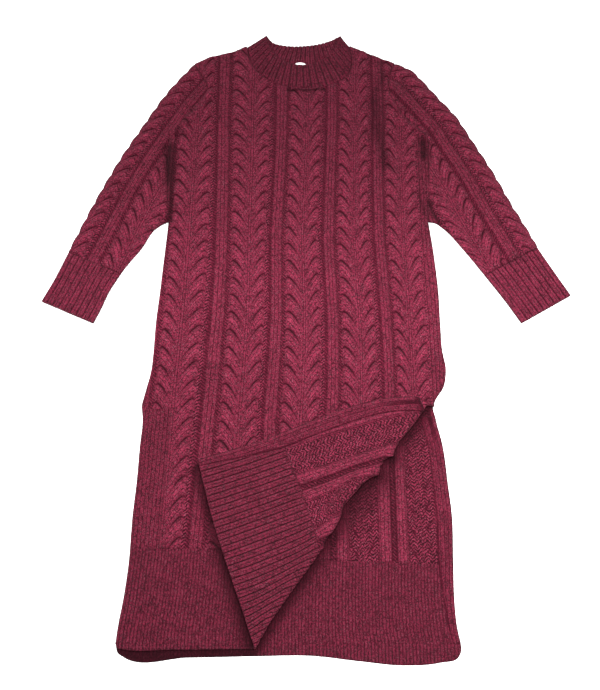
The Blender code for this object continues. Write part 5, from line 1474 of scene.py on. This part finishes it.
def build_collar():
    left, right = through(COLLAR_LEFT[::-1], MESH_STEP), through(COLLAR_RIGHT[::-1], MESH_STEP)
    ends = {}
    for layer, neckline, rim in (("top", FRONT_NECKLINE, FRONT_RIM), ("low", BACK_NECKLINE, BACK_RIM)):
        seam = shifted(through(neckline, MESH_STEP), -GAP * 1.2)[::-1]
        seam[0], seam[-1] = left[-1], right[0]
        ends[layer] = seam, through(rim, MESH_STEP)[::-1]
    (front_seam, front_rim), (back_seam, back_rim) = front, back = [(seam, rim[::-1]) for seam, rim in ends.values()]
    sides = [(line, line) for line in (left, front_seam, right, front_rim[::-1])]
    outline = np.vstack([front_rim, right[::-1], front_seam[::-1], left[::-1]])

    def side_distance(x, y):
        return distance(x, y, left, right)

    def open_by(x, y):
        a, b = distance(x, y, front_seam), distance(x, y, front_rim)
        return COLLAR_OPEN * np.minimum(1, a / (a + b) * 1.3) * eased(side_distance(x, y), ON_LINE, COLLAR_EASE)

    def ribs(x, y, lines):
        return rib_height(collar_place(x, y, *lines)[0] * COLLAR_RIBS, RIB_HEIGHT)

    def top(x, y):
        relief = ribs(x, y, front) * seam_fade(x, y, front_seam)
        end = 0.6 + 0.4 * rounded(distance(x, y, front_rim), 0.003)
        height = SPLIT + (SPLIT + relief) * rounded(side_distance(x, y), SIDE_ROUND) * end
        return at_height(x, y, height + open_by(x, y))

    def seen(x, y):
        clear = distance(x, y, front_rim) - np.where(inside(x, y, outline), 1, 0)
        beside = np.max([LABEL[0] - x, x - LABEL[1], y - LABEL[3]], axis=0)
        return eased(clear, 0.002, 0.005) * eased(beside, *BESIDE_LABEL) * eased(side_distance(x, y), 0.004, 0.008)

    def low_in(x, y):
        return at_height(x, y, SPLIT - GAP / 2 + (ribs(x, y, back) + 0.6 * RIB_HEIGHT) * seen(x, y))

    def low(x, y):
        return at_height(x, y, SPLIT * (1 - rounded(side_distance(x, y), CLOTH)))

    def top_in(x, y):
        return at_height(x, y, SPLIT + GAP / 2 + open_by(x, y))

    def collar_look(lines, groove, bright):
        def look(x, y, fx, fy):
            share, t = collar_place(x, y, *lines)
            return rib_look(share * COLLAR_RIBS, t * 0.05, (groove, 0.16), bright)

        return look

    def lines_over(lines, keep):
        def at(share):
            start, end = (point_at(share * lengths(line)[-1], lengths(line), line) for line in lines)
            return start + (end - start) * np.linspace(0, 1, 26)[:, None]

        return station_lines(at, COLLAR_RIBS, keep)

    x0, x1, _, y1 = LABEL
    corners = ((x0, 0.57, -1, 0), (x0, y1, -1, 1), (x1, y1, 1, 1), (x1, 0.57, 1, 0))
    round_label = [np.array([(x + right * by, y + up * by) for x, y, right, up in corners]) for by in BESIDE_LABEL]
    edges = edge_rows((left, right), SIDE_ROWS, sides)
    # Painted shade in the ribs' grooves; the collar's front is painted darker than its back
    front_look, back_look = collar_look(front, 0.28, 0.58), collar_look(back, 0.35, 0.69)
    layers = {
        "top": (top, front_look, [*edges, *lines_over(front, in_cloth(sides, 0.002))], MESH_STEP),
        "top_in": (top_in, front_look, (), 0.004),
        "low_in": (low_in, back_look, [*round_label, *lines_over(back, lambda x, y: seen(x, y) > 0)], MESH_STEP),
        "low": (low, back_look, edges, 0.005),
    }
    flat_tube("collar", left, right, ends, layers)


def build_label():
    """The care label, whose top is a lopsided arch."""
    x0, x1, y0, y1 = LABEL
    corners = [(x0, y1 - 0.0035), (x0, y0), (x1, y0), (x1, y1 - 0.0065)]
    arch = [corners[3], (x1 - 0.005, y1 - 0.0018), ((x0 + x1) / 2 - 0.001, y1), (x0 + 0.004, y1 - 0.0010), corners[0]]
    sides = [(through(row, 0.001),) * 2 for row in [*zip(corners, corners[1:]), arch]]

    def at(z):
        return lambda x, y: at_height(x, y, z + 0.0002 * np.sin((x - x0) / (x1 - x0) * math.pi))

    def look(x, y, fx, fy):
        return x / WALE, y / COURSE, 0 * x, 0 * x, np.ones(len(x))

    faces = (at(CLOTH + GAP + LABEL_THICKNESS), look, (), 0.001), (at(CLOTH + GAP), look, (), 0.002)
    cloth_panel("neck_label", sides, *faces, ["collar"], "white_satin")


build_front()
build_front_hem_rib()
build_back()
build_back_hem_rib()
build_slit_band("slit_band_front", 2, SLIT_TOP, FRONT_BAND_END, over_flap, corner_shade, ["front", "front_hem_rib"])
build_slit_band("slit_band_back", 3, BACK_BAND_TOP, BACK_BAND_END, over_back, fold_shade, ["back", "back_hem_rib"])
build_sleeve("left", LEFT_SLEEVE_TOP, LEFT_SLEEVE_UNDER, LEFT_ARMHOLE, True)
build_sleeve("right", RIGHT_SLEEVE_TOP, RIGHT_SLEEVE_UNDER, RIGHT_ARMHOLE, False)
build_cuff("left", LEFT_CUFF_TOP, LEFT_CUFF_UNDER, (LEFT_SLEEVE_TOP[-1], LEFT_SLEEVE_UNDER[0]), 0.35, True)
build_cuff("right", RIGHT_CUFF_TOP, RIGHT_CUFF_UNDER, (RIGHT_SLEEVE_TOP[-1], RIGHT_SLEEVE_UNDER[0]), 0.6, False)
build_collar()
build_label()

# ---- The set ----


def placed(name, data):
    """A new object in the scene."""
    found = bpy.data.objects.new(name, data)
    bpy.context.scene.collection.objects.link(found)
    return found


floor_mesh = bpy.data.meshes.new("floor")
floor_mesh.from_pydata([(-6, -6, 0), (6, -6, 0), (6, 6, 0), (-6, 6, 0)], [], [(0, 1, 2, 3)])
floor_shader = Shader("floor_white")
floor_shader.feed(floor_shader.surface, {"Base Color": (0.93, 0.93, 0.93, 1), "Roughness": 0.9})
floor_mesh.materials.append(floor_shader.material)
floor = placed("floor", floor_mesh)
floor.location.z = -0.0005


def area_light(name, place, target, size, power, spread):
    light = bpy.data.lights.new(name, "AREA")
    light.shape, light.size, light.energy, light.spread = "SQUARE", size, power, spread
    lamp = placed(name, light)
    lamp.location = place
    lamp.rotation_euler = (Vector(target) - Vector(place)).to_track_quat("-Z", "Y").to_euler()


area_light("key", (0.18, -0.2, 1.5), (0.18, -0.2, 0), 0.8, 21, math.radians(100))
area_light("rim", (-1.7, 1.0, 2.0), (0, 0, 0), 1.2, 46, math.pi)

world = bpy.data.worlds.new("studio")
world.use_nodes = True
world.node_tree.nodes["Background"].inputs["Color"].default_value = (1, 1, 1, 1)
world.node_tree.nodes["Background"].inputs["Strength"].default_value = 0.76
bpy.context.scene.world = world

camera = placed("camera", bpy.data.cameras.new("camera"))
camera.data.lens, camera.data.sensor_width = 50, 36
camera.location = (0, -0.5994, 1.4835)
camera.rotation_euler = (math.radians(22), 0, 0)
bpy.context.scene.camera = camera
bpy.context.scene.view_settings.view_transform = "Standard"
